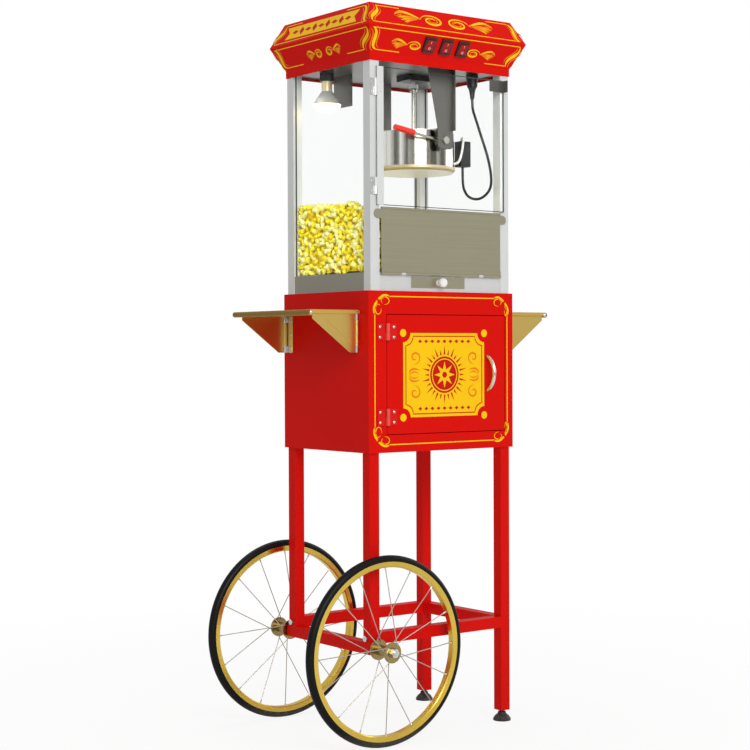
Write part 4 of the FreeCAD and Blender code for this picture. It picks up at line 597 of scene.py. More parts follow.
def smooth_line(name, points, bevel=0.0):
    """A NURBS curve with these points as its control points."""
    data = bpy.data.curves.new(name, "CURVE")
    data.dimensions = "3D"
    data.resolution_u = 16
    line = data.splines.new("NURBS")
    line.points.add(len(points) - 1)
    for spot, point in zip(line.points, points):
        spot.co = (*point, 1)
    line.order_u = 3
    line.use_endpoint_u = True
    data.bevel_depth = bevel
    data.bevel_resolution = 5
    data.use_fill_caps = True
    item = linked(name, data)
    bpy.context.view_layer.update()
    return item


def baked(item, name):
    """The evaluated shape of an object as a plain mesh; the object itself is removed."""
    graph = bpy.context.evaluated_depsgraph_get()
    mesh = bpy.data.meshes.new_from_object(item.evaluated_get(graph))
    mesh.name = name
    bpy.data.objects.remove(item)
    return mesh


line_mesh = baked(smooth_line("lead_line", route), "lead_line")
lead = linked("kettle_lead", baked(smooth_line("lead_tube", route, CORD_WIDTH / 2), "kettle_lead"))
dress(lead.data, "cord_rubber")
shade(lead.data)
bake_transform(lead)
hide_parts("kettle_cord")

# %% [markdown]
# A short sleeved wire leaves the top of the terminal box and enters the side of the pot low down.
# It is stiff and tilts with the kettle, so it is one piece on that body.

# %% Sleeved wire
SLEEVE_WIDTH = 0.0055
SLEEVE_HEADING, SLEEVE_LEVEL, SLEEVE_ENDS = math.radians(-33), 1.263, (-0.002, 0.009)
SLEEVE_STEPS = ((-13, -15, 20), (-6, -13, 44), (2, -6, 64), (8, 9, 66), (9, 12, 55))
places = []
for reach in SLEEVE_ENDS:
    radius = POT_RADIUS + reach
    across = POT_MIDDLE_X + radius * math.cos(SLEEVE_HEADING)
    places.append(Vector((across, radius * math.sin(SLEEVE_HEADING), SLEEVE_LEVEL)))
box_corner = Vector((box_high.x - 2 * TERMINAL_HALF, box_low.y, box_low.z))
places += [box_corner + Vector(step) * MM for step in SLEEVE_STEPS]
sleeve_mesh = baked(smooth_line("sleeve", places, SLEEVE_WIDTH / 2), "kettle_sleeved_wire")
add_piece("kettle_sleeved_wire", sleeve_mesh, "white_sleeve", "kettle")
print("sleeved wire from the terminal box to the pot")

# %% [markdown]
# Clear sheet looks dark along its edges, where one sees into its thickness. A thin dark bar over each
# edge beside a post gives that line, and so do three on the free edges of the door, which swing with it.

# %% Pane edges
SHEET, EDGE_LINE, EDGE_PROUD, POST = 0.003, 0.0014, 0.0002, 0.024
BOX_FACES = ((0, 2, 3, 1), (4, 5, 7, 6), (0, 1, 5, 4), (2, 6, 7, 3), (0, 4, 6, 2), (1, 3, 7, 5))


def add_bars(name, spans, body):
    """Dark square bars, each given by its spans along the three axes, as one piece."""
    points = []
    faces = []
    for span_x, span_y, span_z in spans:
        first = len(points)
        points += [(x, y, z) for z in span_z for y in span_y for x in span_x]
        faces += [[first + corner for corner in face] for face in BOX_FACES]
    add_piece(name, finished(mesh_from(name, points, faces)), "pane_edge", body, smooth=False)


glass_low, glass_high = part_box("window_glass")
post_low, post_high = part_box("corner_posts")
upright = (glass_low.z, glass_high.z)
spans = []
for side in (glass_low.x, glass_high.x - SHEET):
    for edge in (post_low.y + POST, post_high.y - POST - EDGE_LINE):
        spans.append(((side - EDGE_PROUD, side + SHEET + EDGE_PROUD), (edge, edge + EDGE_LINE), upright))
through = (glass_high.y - SHEET - EDGE_PROUD, glass_high.y + EDGE_PROUD)
for edge in (post_low.x + POST, post_high.x - POST - EDGE_LINE):
    spans.append(((edge, edge + EDGE_LINE), through, upright))
add_bars("pane_edges", spans, "cart")
sheet_low, sheet_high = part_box("clear_door")
through = (sheet_low.y - EDGE_PROUD, sheet_high.y + EDGE_PROUD)
across = (sheet_low.x, sheet_high.x)
low_z, high_z = sheet_low.z + EDGE_LINE, sheet_high.z - EDGE_LINE
free_edges = [(across, through, (sheet_low.z, low_z)), (across, through, (high_z, sheet_high.z)),
              ((sheet_high.x - EDGE_LINE, sheet_high.x), through, (low_z, high_z))]
add_bars("clear_door_edges", free_edges, "clear_door")
print("pane edges:", len(spans) + len(free_edges))

# %% [markdown]
# The scrolls, borders and plaque are paint on flat sheet. They could be a pattern in the red's own
# material, but a sign painter's strokes have crisp edges and swell from a thin start, so each stroke
# here is a thin ribbon of paint: a line of points, a width that swells, and the panel it lies on.

# %% Panels and strokes
FRONT, BACK, LEFT, RIGHT = (Vector(way) for way in ((0, -1, 0), (0, 1, 0), (-1, 0, 0), (1, 0, 0)))
PAINT_GAP, PAINT_FILM = 0.03, 0.22
THIN_END, SWELL_POWER = 0.12, 0.8
CURVE_STEPS, CURL_STEPS = 18, 40


class Panel:
    """A flat face with its own across and up directions, measured in millimetres from its foot."""

    def __init__(self, foot, top, outward):
        self.foot = Vector(foot)
        self.up = (Vector(top) - self.foot).normalized()
        self.across = Vector((0, 0, 1)).cross(outward)
        self.out = self.across.cross(self.up)
        self.height = (Vector(top) - self.foot).length / MM

    def at(self, across, up, lift):
        """A point over the panel."""
        return self.foot + (self.across * across + self.up * up + self.out * lift) * MM


class Paintwork:
    """Strokes and shapes of one colour on a panel, gathered into one thin mesh."""

    def __init__(self, panel, layer=0):
        self.panel = panel
        self.low = PAINT_GAP + layer * PAINT_FILM
        self.high = self.low + PAINT_FILM
        self.points = []
        self.faces = []

    def stroke(self, line, width, plain=False):
        """A ribbon along a line; it swells in the middle unless it is plain."""
        first = len(self.points)
        count = len(line)
        for index, (x, y) in enumerate(line):
            ahead_x, ahead_y = line[min(index + 1, count - 1)]
            behind_x, behind_y = line[max(index - 1, 0)]
            run = math.hypot(ahead_x - behind_x, ahead_y - behind_y)
            rise = math.sin(math.pi * index / (count - 1)) ** SWELL_POWER
            swell = 1.0 if plain else THIN_END + (1 - THIN_END) * rise
            side_x = (behind_y - ahead_y) / run * width / 2 * swell
            side_y = (ahead_x - behind_x) / run * width / 2 * swell
            for lift in (self.high, self.low):
                self.points.append(self.panel.at(x + side_x, y + side_y, lift))
                self.points.append(self.panel.at(x - side_x, y - side_y, lift))
        for index in range(count - 1):
            here = first + 4 * index
            for a, b in ((0, 1), (1, 3), (3, 2), (2, 0)):
                self.faces.append((here + a, here + b, here + 4 + b, here + 4 + a))
        for end in (first, first + 4 * (count - 1)):
            self.faces.append((end, end + 1, end + 3, end + 2))

    def loop(self, line, width):
        """A plain ribbon along a closed line."""
        self.stroke(line + line[:1], width, plain=True)

    def shape(self, outline):
        """A filled shape with a plain edge."""
        first = len(self.points)
        count = len(outline)
        for lift in (self.high, self.low):
            self.points.extend(self.panel.at(x, y, lift) for x, y in outline)
        self.faces.append(tuple(range(first, first + count)))
        self.faces.append(tuple(range(first + 2 * count - 1, first + count - 1, -1)))
        for index in range(count):
            beside = (index + 1) % count
            self.faces.append((first + index, first + beside, first + count + beside, first + count + index))

    def laid(self, name, finish, body):
        """Make the paint a piece on a body."""
        mesh = finished(mesh_from(name, self.points, self.faces))
        add_piece(name, mesh, finish, body, smooth=False)


def curve(start, pull_out, pull_in, stop):
    """A curve from start to stop that leaves and arrives along two pulls."""
    line = []
    for index in range(CURVE_STEPS + 1):
        t = index / CURVE_STEPS
        weights = ((1 - t) ** 3, 3 * t * (1 - t) ** 2, 3 * t * t * (1 - t), t ** 3)
        pairs = list(zip(weights, (start, pull_out, pull_in, stop)))
        line.append(tuple(sum(weight * point[axis] for weight, point in pairs) for axis in (0, 1)))
    return line


def curl(middle, wide, high, start, stop, inner):
    """A scroll that winds in from its full size to the inner share of it."""
    line = []
    for index in range(CURL_STEPS + 1):
        t = index / CURL_STEPS
        angle = math.radians(start + (stop - start) * t)
        size = 1 + (inner - 1) * t
        line.append((middle[0] + wide * size * math.cos(angle), middle[1] + high * size * math.sin(angle)))
    return line


def moved(line, x, y, hand=1, lift_hand=1):
    """A line shifted to a place, and mirrored where a hand is -1."""
    return [(x + hand * a, y + lift_hand * b) for a, b in line]


def polar(x, y, radius, angle):
    """A point at a distance and a heading from another."""
    return x + radius * math.cos(angle), y + radius * math.sin(angle)


def ring(x, y, radius, count):
    """Points round a circle."""
    return [polar(x, y, radius, math.tau * index / count) for index in range(count)]


def lozenge(x, y, wide, high):
    """A small diamond."""
    return [(x - wide, y), (x, y - high), (x + wide, y), (x, y + high)]


print("paint film", PAINT_FILM, "mm")

# %% [markdown]
# Three motifs make all the ornament, so each is a function. The acanthus scroll has a stem that
# winds up at one end and a comb of leaf strokes at the other. The leaf closes the end of a border.
# The corner pairs two leaves and two thin loops.

# %% Ornament motifs
COMB_STROKES = 7
LEAF_WAVE, LEAF_PULLS, LEAF_VEIN, VEIN_WIDTH = 0.36, ((0.3, 1), (0.65, -1)), 0.42, 0.34
LOOP_DEPTH = 9


def acanthus(bold, fine, x, y, wide, high, hand):
    """A scroll: a stem that winds up on one side and a comb of leaves on the other."""
    def place(line):
        return moved([(a * wide, b * high) for a, b in line], x, y, hand)
    bold.stroke(place(curve((-0.47, 0.12), (-0.36, 0.62), (-0.16, 0.34), (0.04, 0.02))), 0.17 * high)
    bold.stroke(place(curl((0.27, 0.0), 0.23, 0.42, 175, -330, 0.34)), 0.13 * high)
    fine.stroke(place(curl((0.27, 0.0), 0.15, 0.25, 160, -250, 0.3)), 0.08 * high)
    fine.stroke(place(curl((-0.36, 0.24), 0.09, 0.17, 20, 400, 0.25)), 0.08 * high)
    for index in range(COMB_STROKES):
        share = index / (COMB_STROKES - 1)
        pulls = (-0.1, 0.16 - 0.2 * share), (-0.3, 0.14 - 0.5 * share)
        tip = (-0.47 + 0.2 * share, 0.02 - 0.46 * share)
        work = bold if index % 2 else fine
        work.stroke(place(curve((0.03, 0.0), *pulls, tip)), 0.085 * high)


def leaf(bold, fine, foot, top, width):
    """A leaf that waves from foot to top and ends a border."""
    rise = (top[0] - foot[0], top[1] - foot[1])
    across = (-rise[1] * LEAF_WAVE, rise[0] * LEAF_WAVE)
    pulls = [(foot[0] + rise[0] * share + across[0] * side, foot[1] + rise[1] * share + across[1] * side)
             for share, side in LEAF_PULLS]
    line = curve(foot, *pulls, top)
    bold.stroke(line, width)
    for side in (LEAF_VEIN, -LEAF_VEIN):
        fine.stroke(moved(line, across[0] * side, across[1] * side), width * VEIN_WIDTH)


def corner(bold, fine, x, y, hand, lift_hand, reach, room):
    """Two leaves and two loops where two border lines meet; the room limits the upright loop."""
    for flip in (False, True):
        deep = min(room, 2 * LOOP_DEPTH) / 2 if flip else LOOP_DEPTH
        lines = (
            (bold, curve((9, 4), (14, 10), (22, -8), (reach - 4, 0)), 7.5),
            (fine, curve((11, 6), (16, 11), (24, -6), (reach - 6, 1)), 1.8),
            (bold, curl((reach - 17, deep), 12, deep - 0.5, 100, -230, 0.8), 2.0),
        )
        for work, line, width in lines:
            swapped = [(b, a) for a, b in line] if flip else line
            work.stroke(moved(swapped, x, y, hand, lift_hand), width)


print("motifs: acanthus, leaf, corner")

# %% [markdown]
# The canopy has four sloping faces above its ridge and four below it. A panel is worked out for
# each from the canopy's own box. The front has large scrolls above and smaller ones beside the
# switches, and the sides have a bare banner with red lozenges. The back has borders only.

# %% Canopy ornament
SKIRT_TOP, RIDGE = 1.470, 1.5235
canopy_low, canopy_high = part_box("canopy_shell")
RIDGE_X, RIDGE_Y = (canopy_high.x - canopy_low.x) / 2, canopy_high.y
FLARE_FRONT = 0.031
# Along each axis: the ridge's reach, and how far the slope and the flare fall back from it.
REACH_X, REACH_Y = (RIDGE_X, 0.022, 0.0235), (RIDGE_Y, 0.0295, FLARE_FRONT)
EDGE, BORDER_WIDTH, STUB, END_LEAF = 7.0, 1.9, 62.0, 8.0
BANNER_TAIL, BANNER_END, BANNER_HALF, BANNER_PITCH = 14, 24, 15, 25
TALL_LOZENGE, WIDE_LOZENGE, LOZENGE_ROW = (9, 10), (12, 5), range(-4, 5)
SIDES = (("front", FRONT), ("left", LEFT), ("right", RIGHT), ("back", BACK))
SIDE_SCROLLS = ((-32, -8, 58, 26, 1), (40, -8, 58, 26, -1))
# Each scroll: across, up from the middle, width, height, hand.
SCROLLS = {
    "front_upper": ((-76, 0, 136, 37, 1), (70, 0, 136, 37, -1)),
    "front_lower": ((-108, -6, 84, 25, 1), (102, -6, 84, 25, -1)),
    "left_lower": SIDE_SCROLLS,
    "right_lower": SIDE_SCROLLS,
}


def canopy_panels(outward):
    """The sloping panel over the ridge and the flare under it, with half their lengths at foot and top."""
    ways = (REACH_X, REACH_Y) if outward.x else (REACH_Y, REACH_X)
    (reach, slope, flare), (half, end_slope, end_flare) = ways
    middle = Vector((CABINET_X, 0, 0))
    ridge = middle + outward * reach + Vector((0, 0, RIDGE))
    crown = middle + outward * (reach - slope) + Vector((0, 0, canopy_high.z))
    skirt = middle + outward * (reach - flare) + Vector((0, 0, SKIRT_TOP))
    return (("upper", Panel(ridge, crown, outward), half / MM, (half - end_slope) / MM),
            ("lower", Panel(skirt, ridge, outward), (half - end_flare) / MM, half / MM))


def panel_border(bold, fine, high, foot_half, top_half, full_low):
    """A line along one long edge, stubs along the other, and a leaf at each end."""
    foot, top = (foot_half - EDGE * 2, EDGE), (top_half - EDGE * 2, high - EDGE)
    (full_x, full_y), (stub_x, stub_y) = (foot, top) if full_low else (top, foot)
    bold.stroke([(-full_x, full_y), (0, full_y), (full_x, full_y)], BORDER_WIDTH, plain=True)
    for hand in (-1, 1):
        stub = [(hand * stub_x, stub_y), (hand * (stub_x - STUB), stub_y)]
        bold.stroke(stub, BORDER_WIDTH, plain=True)
        leaf(bold, fine, (hand * foot[0], foot[1]), (hand * top[0], top[1]), END_LEAF)


def add_banner(word, bold, panel, half, middle):
    """A ribbon with notched ends, and a row of red lozenges on it."""
    low, high = middle - BANNER_HALF, middle + BANNER_HALF
    bold.shape([(-half, low), (half, low), (half - BANNER_TAIL, middle),
                (half, high), (-half, high), (-half + BANNER_TAIL, middle)])
    reds = Paintwork(panel, 1)
    for index in LOZENGE_ROW:
        reds.shape(lozenge(index * BANNER_PITCH, middle, *(TALL_LOZENGE if index % 2 else WIDE_LOZENGE)))
    reds.laid(f"{word}_banner_lozenges", "scarlet_paint", "cart")


for word, outward in SIDES:
    for place, panel, foot_half, top_half in canopy_panels(outward):
        bold, fine = Paintwork(panel), Paintwork(panel, 1)
        panel_border(bold, fine, panel.height, foot_half, top_half, place == "upper")
        middle = panel.height / 2
        for across, rise, wide, high, hand in SCROLLS.get(f"{word}_{place}", ()):
            acanthus(bold, fine, across, middle + rise, wide, high, hand)
        if word in ("left", "right") and place == "upper":
            add_banner(word, bold, panel, top_half - BANNER_END, middle)
        bold.laid(f"canopy_{word}_{place}_ornament", "yellow_paint", "cart")
        fine.laid(f"canopy_{word}_{place}_fine_lines", "amber_paint", "cart")
print("canopy panels painted:", 2 * len(SIDES))

# %% [markdown]
# The cabinet's front has a yellow border with a flourish in each corner. It lies on the frame round
# the door, so it rides on the cart and the door swings out through it without tearing it.

# %% Cabinet border
BORDER_X, BORDER_LOW, BORDER_HIGH, BORDER_LINE = 186.0, 637.0, 954.0, 2.4
CORNER_REACH, CORNER_LAP = 44.0, 8
HINGE_ROOM, HANDLE_ROOM = 18, 8


def face_panel(node):
    """The upright front face of a node, measured from the floor under the cabinet's middle."""
    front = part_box(node)[0].y
    return Panel((CABINET_X, front, 0), (CABINET_X, front, 1), FRONT)


cabinet_face = face_panel("cabinet_front")
bold, fine = Paintwork(cabinet_face), Paintwork(cabinet_face, 1)
short = CORNER_REACH - CORNER_LAP
for hand, room in ((-1, HINGE_ROOM), (1, HANDLE_ROOM)):
    side = hand * BORDER_X
    bold.stroke([(side, BORDER_LOW + short), (side, BORDER_HIGH - short)], BORDER_LINE, plain=True)
    for level, lift_hand in ((BORDER_LOW, 1), (BORDER_HIGH, -1)):
        corner(bold, fine, side, level, -hand, lift_hand, CORNER_REACH, room)
for level in (BORDER_LOW, BORDER_HIGH):
    bold.stroke([(short - BORDER_X, level), (BORDER_X - short, level)], BORDER_LINE, plain=True)
bold.laid("cabinet_border", "yellow_paint", "cart")
fine.laid("cabinet_border_fine_lines", "amber_paint", "cart")
print("border", 2 * BORDER_X, "by", BORDER_HIGH - BORDER_LOW, "mm")

# %% [markdown]
# The door carries a painted plaque. This one is a plain fairground design: a yellow ticket shape
# with a red medallion, a star and a ring of rays, scrolls on either side and a row of lozenges above
# and below. Each colour is one layer of paint over the last.

# %% Door plaque
PLAQUE_X, PLAQUE_Z = 4.0, 785.0
CENTRE = (PLAQUE_X, PLAQUE_Z)
PLAQUE_HALF, PLAQUE_TALL, NOTCH, NOTCH_STEPS = 114.0, 91.0, 20.0, 8
INSET, LINE_WIDTH, DOT = 7, 2.2, 0.42
MEDALLION, HALO, EYE = 40.0, 34.5, 6.5
RAYS, RAY_GAP, RAY_SPREAD, LONG_RAY, SHORT_RAY = 28, 4, 0.055, 20, 12
ROW_UP, ROW_PITCH, SMALL_LOZENGE = 73, 17, (5.5, 4)
STAR_POINTS, STAR_OUTER, STAR_INNER = 8, 29.0, 12.5
HANDS = [(hand, lift_hand) for hand in (-1, 1) for lift_hand in (-1, 1)]
SCROLL_LINES = (
    (curl((-82, 38), 16, 15, -100, 330, 0.2), 4.2),
    (curve((-98, 2), (-98, 14), (-82, 16), (-70, 10)), 4.6),
    (curve((-97, 0), (-90, 8), (-80, 9), (-72, 3)), 3.0),
)
door_face = face_panel("cabinet_door")


def ticket(half, tall):
    """A rectangle with a hollow round corner."""
    outline = []
    for sign_x, sign_y, start in ((1, 1, 270), (-1, 1, 0), (-1, -1, 90), (1, -1, 180)):
        for index in range(NOTCH_STEPS + 1):
            angle = math.radians(start - 90 * index / NOTCH_STEPS)
            outline.append(polar(PLAQUE_X + sign_x * half, PLAQUE_Z + sign_y * tall, NOTCH, angle))
    return outline


ground = Paintwork(door_face)
ground.shape(ticket(PLAQUE_HALF, PLAQUE_TALL))
for hand, lift_hand in HANDS:
    x, y = PLAQUE_X + hand * PLAQUE_HALF, PLAQUE_Z + lift_hand * PLAQUE_TALL
    ground.shape(ring(x, y, NOTCH * DOT, count=20))
ground.laid("plaque_ground", "yellow_paint", "cabinet_door")

reds = Paintwork(door_face, 1)
reds.loop(ticket(PLAQUE_HALF - INSET, PLAQUE_TALL - INSET), LINE_WIDTH)
reds.shape(ring(*CENTRE, MEDALLION, count=48))
for index in range(RAYS):
    angle = math.tau * index / RAYS
    foot = MEDALLION + RAY_GAP
    tip = foot + (LONG_RAY if index % 2 else SHORT_RAY)
    reds.shape([polar(*CENTRE, radius, angle + side)
                for radius, side in ((foot, -RAY_SPREAD), (tip, 0), (foot, RAY_SPREAD))])
for level in (-ROW_UP, ROW_UP):
    for index in LOZENGE_ROW:
        reds.shape(lozenge(PLAQUE_X + index * ROW_PITCH, PLAQUE_Z + level, *SMALL_LOZENGE))
reds.laid("plaque_red_work", "scarlet_paint", "cabinet_door")

ambers = Paintwork(door_face, 1)
for hand, lift_hand in HANDS:
    for line, width in SCROLL_LINES:
        ambers.stroke(moved(line, *CENTRE, hand, lift_hand), width)
ambers.laid("plaque_scrolls", "amber_paint", "cabinet_door")

star = Paintwork(door_face, 2)
star.shape([polar(*CENTRE, STAR_INNER if index % 2 else STAR_OUTER,
                  math.pi * index / STAR_POINTS + math.pi / 2) for index in range(2 * STAR_POINTS)])
star.loop(ring(*CENTRE, HALO, count=48), LINE_WIDTH)
star.laid("plaque_star", "yellow_paint", "cabinet_door")
eye = Paintwork(door_face, 3)
eye.shape(ring(*CENTRE, EYE, count=24))
eye.laid("plaque_star_eye", "scarlet_paint", "cabinet_door")
print("plaque", 2 * PLAQUE_HALF, "by", 2 * PLAQUE_TALL, "mm")

# %% [markdown]
# Each rocker has the usual bar and circle, for on and off. The paddle's face is two flat facets, so
# each mark gets the panel of its own facet.

# %% Switch marks
SWITCH_PITCH, SWITCH_RIM, SWITCH_CLIMB = 0.046, 0.0035, 0.028
BEZEL, SWELL, LOW_SWELL, PADDLE_HALF = 0.005, 0.0025, 0.3, 0.0123
BAR, BAR_WIDTH = [(0, 4.5), (0, 9.5)], 1.1
CIRCLE, CIRCLE_WIDTH = ring(0, 5.5, 2.4, count=24), 0.8
flare = Panel((CABINET_X, FLARE_FRONT - RIDGE_Y, SKIRT_TOP), (CABINET_X, -RIDGE_Y, RIDGE), FRONT)
foot = flare.foot + flare.up * (SWITCH_CLIMB / flare.up.z)
for index, word in enumerate(("left", "middle", "right")):
    hinge_line = foot + flare.across * (SWITCH_PITCH * (index - 1) - SWITCH_RIM / 2) + flare.out * BEZEL
    top_edge = hinge_line + flare.up * PADDLE_HALF + flare.out * SWELL
    low_edge = hinge_line - flare.up * PADDLE_HALF + flare.out * SWELL * LOW_SWELL
    on_mark = Paintwork(Panel(hinge_line, top_edge, FRONT))
    on_mark.stroke(BAR, BAR_WIDTH, plain=True)
    on_mark.laid(f"{word}_on_mark", "cream_paint", f"{word}_rocker")
    off_mark = Paintwork(Panel(low_edge, hinge_line, FRONT))
    off_mark.loop(CIRCLE, CIRCLE_WIDTH)
    off_mark.laid(f"{word}_off_mark", "cream_paint", f"{word}_rocker")
print("switch marks: 6")

# %% [markdown]
# Repeated shapes come from Geometry Nodes. Both trees below have named inputs, end by making their
# instances real and giving them a finish, and are baked to a plain mesh.

# %% Geometry node helpers


def new_tree(name, **sockets):
    """An empty geometry node tree with named inputs after its geometry."""
    tree = bpy.data.node_groups.new(name, "GeometryNodeTree")
    for label, kind in {"Geometry": "Geometry", **sockets}.items():
        tree.interface.new_socket(label, in_out="INPUT", socket_type=f"NodeSocket{kind}")
    tree.interface.new_socket("Geometry", in_out="OUTPUT", socket_type="NodeSocketGeometry")
    return tree, tree.nodes.new("NodeGroupInput").outputs, tree.nodes.new("NodeGroupOutput")


def end_tree(tree, instances, finish, shown):
    """Make a tree's instances real and give them their finish."""
    real = add_node(tree, "GeometryNodeRealizeInstances", {"Geometry": instances})
    worn = add_node(tree, "GeometryNodeSetMaterial", {"Geometry": real.outputs[0], "Material": finish})
    feed(shown, {"Geometry": worn.outputs[0]})


def grown(name, mesh, tree, **values):
    """The plain mesh that a tree grows from a start mesh."""
    start = linked(name, mesh)
    modifier = start.modifiers.new(tree.name, "NODES")
    modifier.node_group = tree
    for socket in tree.interface.items_tree:
        if socket.in_out == "INPUT" and socket.name in values:
            modifier[socket.identifier] = values[socket.name]
    bpy.context.view_layer.update()
    return baked(start, name)


print("geometry node helpers ready")

# %% [markdown]
# A heap of popped corn fills the left of the chamber and slopes away to the right. Each kernel is a
# small lumpy ball with few faces. The tree scatters kernels over a hidden heap, turns and sizes
# each by chance from a fixed seed, and gives each its own tint, which the material reads. Kernels
# at the panes and the floor are then pressed flat against them.

# %% Popped corn
KERNEL_SHAPES, KERNEL_RADIUS, KERNEL_SIDES, KERNEL_ROWS = 4, 0.0108, 7, 6
LOBES, LOBE_POWER, LOBE_REACH, LOBE_LIMIT, HUSK = 7, 7, 0.6, 1.15, 0.4
SORT_WAY = Vector((1, 10, 100))
CORN_STOPS = ((0.0, (0.96, 0.72, 0.01, 1)), (0.45, (0.98, 0.87, 0.04, 1)), (1.0, (0.99, 0.95, 0.46, 1)))
HULL_BROWN, HULL_SCALE, HULL_SHARE = (0.25, 0.1, 0.015, 1), 95.0, 0.73
BLOTCH_SCALE, BLOTCH_SHARE = 160.0, 0.9
PANE_X, PANE_BACK, DOOR_SIDE, PRESSED = 0.185, 0.1475, -0.154, 0.0005
HEAP_INSET, CORE_INSET = 0.0085, 0.006
HEAP_LEFT, HEAP_RIGHT = CABINET_X - PANE_X + HEAP_INSET, CABINET_X + PANE_X - HEAP_INSET
HEAP_FRONT, HEAP_BACK = DOOR_SIDE + HEAP_INSET, PANE_BACK - HEAP_INSET
HEAP_RAISED, HEAP_HIGH, HEAP_FALL, HEAP_SUNK = 0.005, 0.142, 0.112, 0.008
HEAP_FOOT = tray_high.z + HEAP_RAISED
FALL_FROM, FALL_RUN, BULGE = 0.04, 0.46, 0.014
RIPPLE, RIPPLE_ALONG, RIPPLE_ACROSS = 0.006, 9, 5
BACK_RISE, BACK_FROM, BACK_RUN, FRONT_DROP, FRONT_RUN = 0.008, 0.8, 0.2, 0.026, 0.36
STEPS_X, STEPS_Y = 20, 14
dice = random.Random(7)

tree, shader = new_finish("popped_corn", Subsurface_Weight=0.12, Subsurface_Scale=0.004,
                          Specular_IOR_Level=0.25)
tint = add_node(tree, "ShaderNodeAttribute", {}, attribute_name="tint").outputs["Fac"]
where = object_place(tree)
blotch = add_math(tree, "SUBTRACT", add_noise(tree, where, BLOTCH_SCALE), NOISE_MIDDLE)
warmth = add_math(tree, "ADD", tint, add_math(tree, "MULTIPLY", blotch, BLOTCH_SHARE))
hulls = add_math(tree, "GREATER_THAN", add_noise(tree, where, HULL_SCALE, detail=2.0), HULL_SHARE)
corn_tone = add_mix(tree, hulls, add_ramp(tree, warmth, CORN_STOPS), HULL_BROWN)
finish = place_group(tree, uneven, Gloss=0.6, Gloss_Drift=0.2, Grain=900.0)
wear(shader, finish, relief=0.3, depth=0.0006, colour=corn_tone)

scatter, given, shown = new_tree("scatter_kernels", Kernels="Collection", Density="Float", Spacing="Float",
                                 Smallest="Float", Largest="Float", Seed="Int", Finish="Material")
spots = add_node(scatter, "GeometryNodeDistributePointsOnFaces", {
    "Mesh": given["Geometry"], "Density Max": given["Density"], "Distance Min": given["Spacing"],
    "Seed": given["Seed"]}, distribute_method="POISSON")
shapes = add_node(scatter, "GeometryNodeCollectionInfo", {
    "Collection": given["Kernels"], "Separate Children": True, "Reset Children": True})
RANDOM = "FunctionNodeRandomValue"
turn_by = add_node(scatter, RANDOM, {"Max": (math.tau, math.tau, math.tau)}, data_type="FLOAT_VECTOR")
scale_by = add_node(scatter, RANDOM, {2: given["Smallest"], 3: given["Largest"]})
pick_by = add_node(scatter, RANDOM, {"Max": KERNEL_SHAPES - 1}, data_type="INT")
tint_by = add_node(scatter, RANDOM, {})
place = add_node(scatter, "GeometryNodeInstanceOnPoints", {
    "Points": spots.outputs["Points"], "Instance": shapes.outputs["Instances"], "Pick Instance": True,
    "Instance Index": pick_by.outputs[2], "Rotation": turn_by.outputs[0], "Scale": scale_by.outputs[1]})
keep_tint = add_node(scatter, "GeometryNodeStoreNamedAttribute", {
    "Geometry": place.outputs["Instances"], "Name": "tint", "Value": tint_by.outputs[1]}, domain="INSTANCE")
end_tree(scatter, keep_tint.outputs["Geometry"], given["Finish"], shown)


def kernel_mesh(name):
    """A ball of few faces pushed out into the lobes of a popped kernel."""
    work = bmesh.new()
    bmesh.ops.create_uvsphere(work, u_segments=KERNEL_SIDES, v_segments=KERNEL_ROWS, radius=1.0)
    lobes = []
    for _ in range(LOBES):
        lobes.append(Vector((dice.gauss(0, 1), dice.gauss(0, 1), dice.gauss(0, 1))).normalized())
    for vertex in work.verts:
        way = vertex.co.normalized()
        swell = sum(max(0.0, way.dot(lobe)) ** LOBE_POWER for lobe in lobes)
        vertex.co = way * KERNEL_RADIUS * (HUSK + LOBE_REACH * min(LOBE_LIMIT, swell))
    # Blender numbers the ball's parts anew on each run, so they are put in one fixed order.
    work.verts.sort(key=lambda vertex: vertex.co.dot(SORT_WAY))
    work.faces.sort(key=lambda face: face.calc_center_median().dot(SORT_WAY))
    mesh = bpy.data.meshes.new(name)
    work.to_mesh(mesh)
    work.free()
    shade(mesh)
    return mesh


def heap_level(across, along):
    """The heap's height over its foot, high at the left pane and low at the right."""
    slide = min(1.0, max(0.0, (across - FALL_FROM) / FALL_RUN))
    ease = slide * slide * (3 - 2 * slide)
    ripple = RIPPLE * math.sin(RIPPLE_ALONG * along + RIPPLE_ACROSS * across)
    bulge = BULGE * math.sin(math.pi * along) + ripple
    back = BACK_RISE * max(0.0, along - BACK_FROM) / BACK_RUN
    ends = back - FRONT_DROP * max(0.0, FRONT_RUN - along) / FRONT_RUN
    return HEAP_HIGH - HEAP_FALL * ease + bulge + ends - HEAP_SUNK


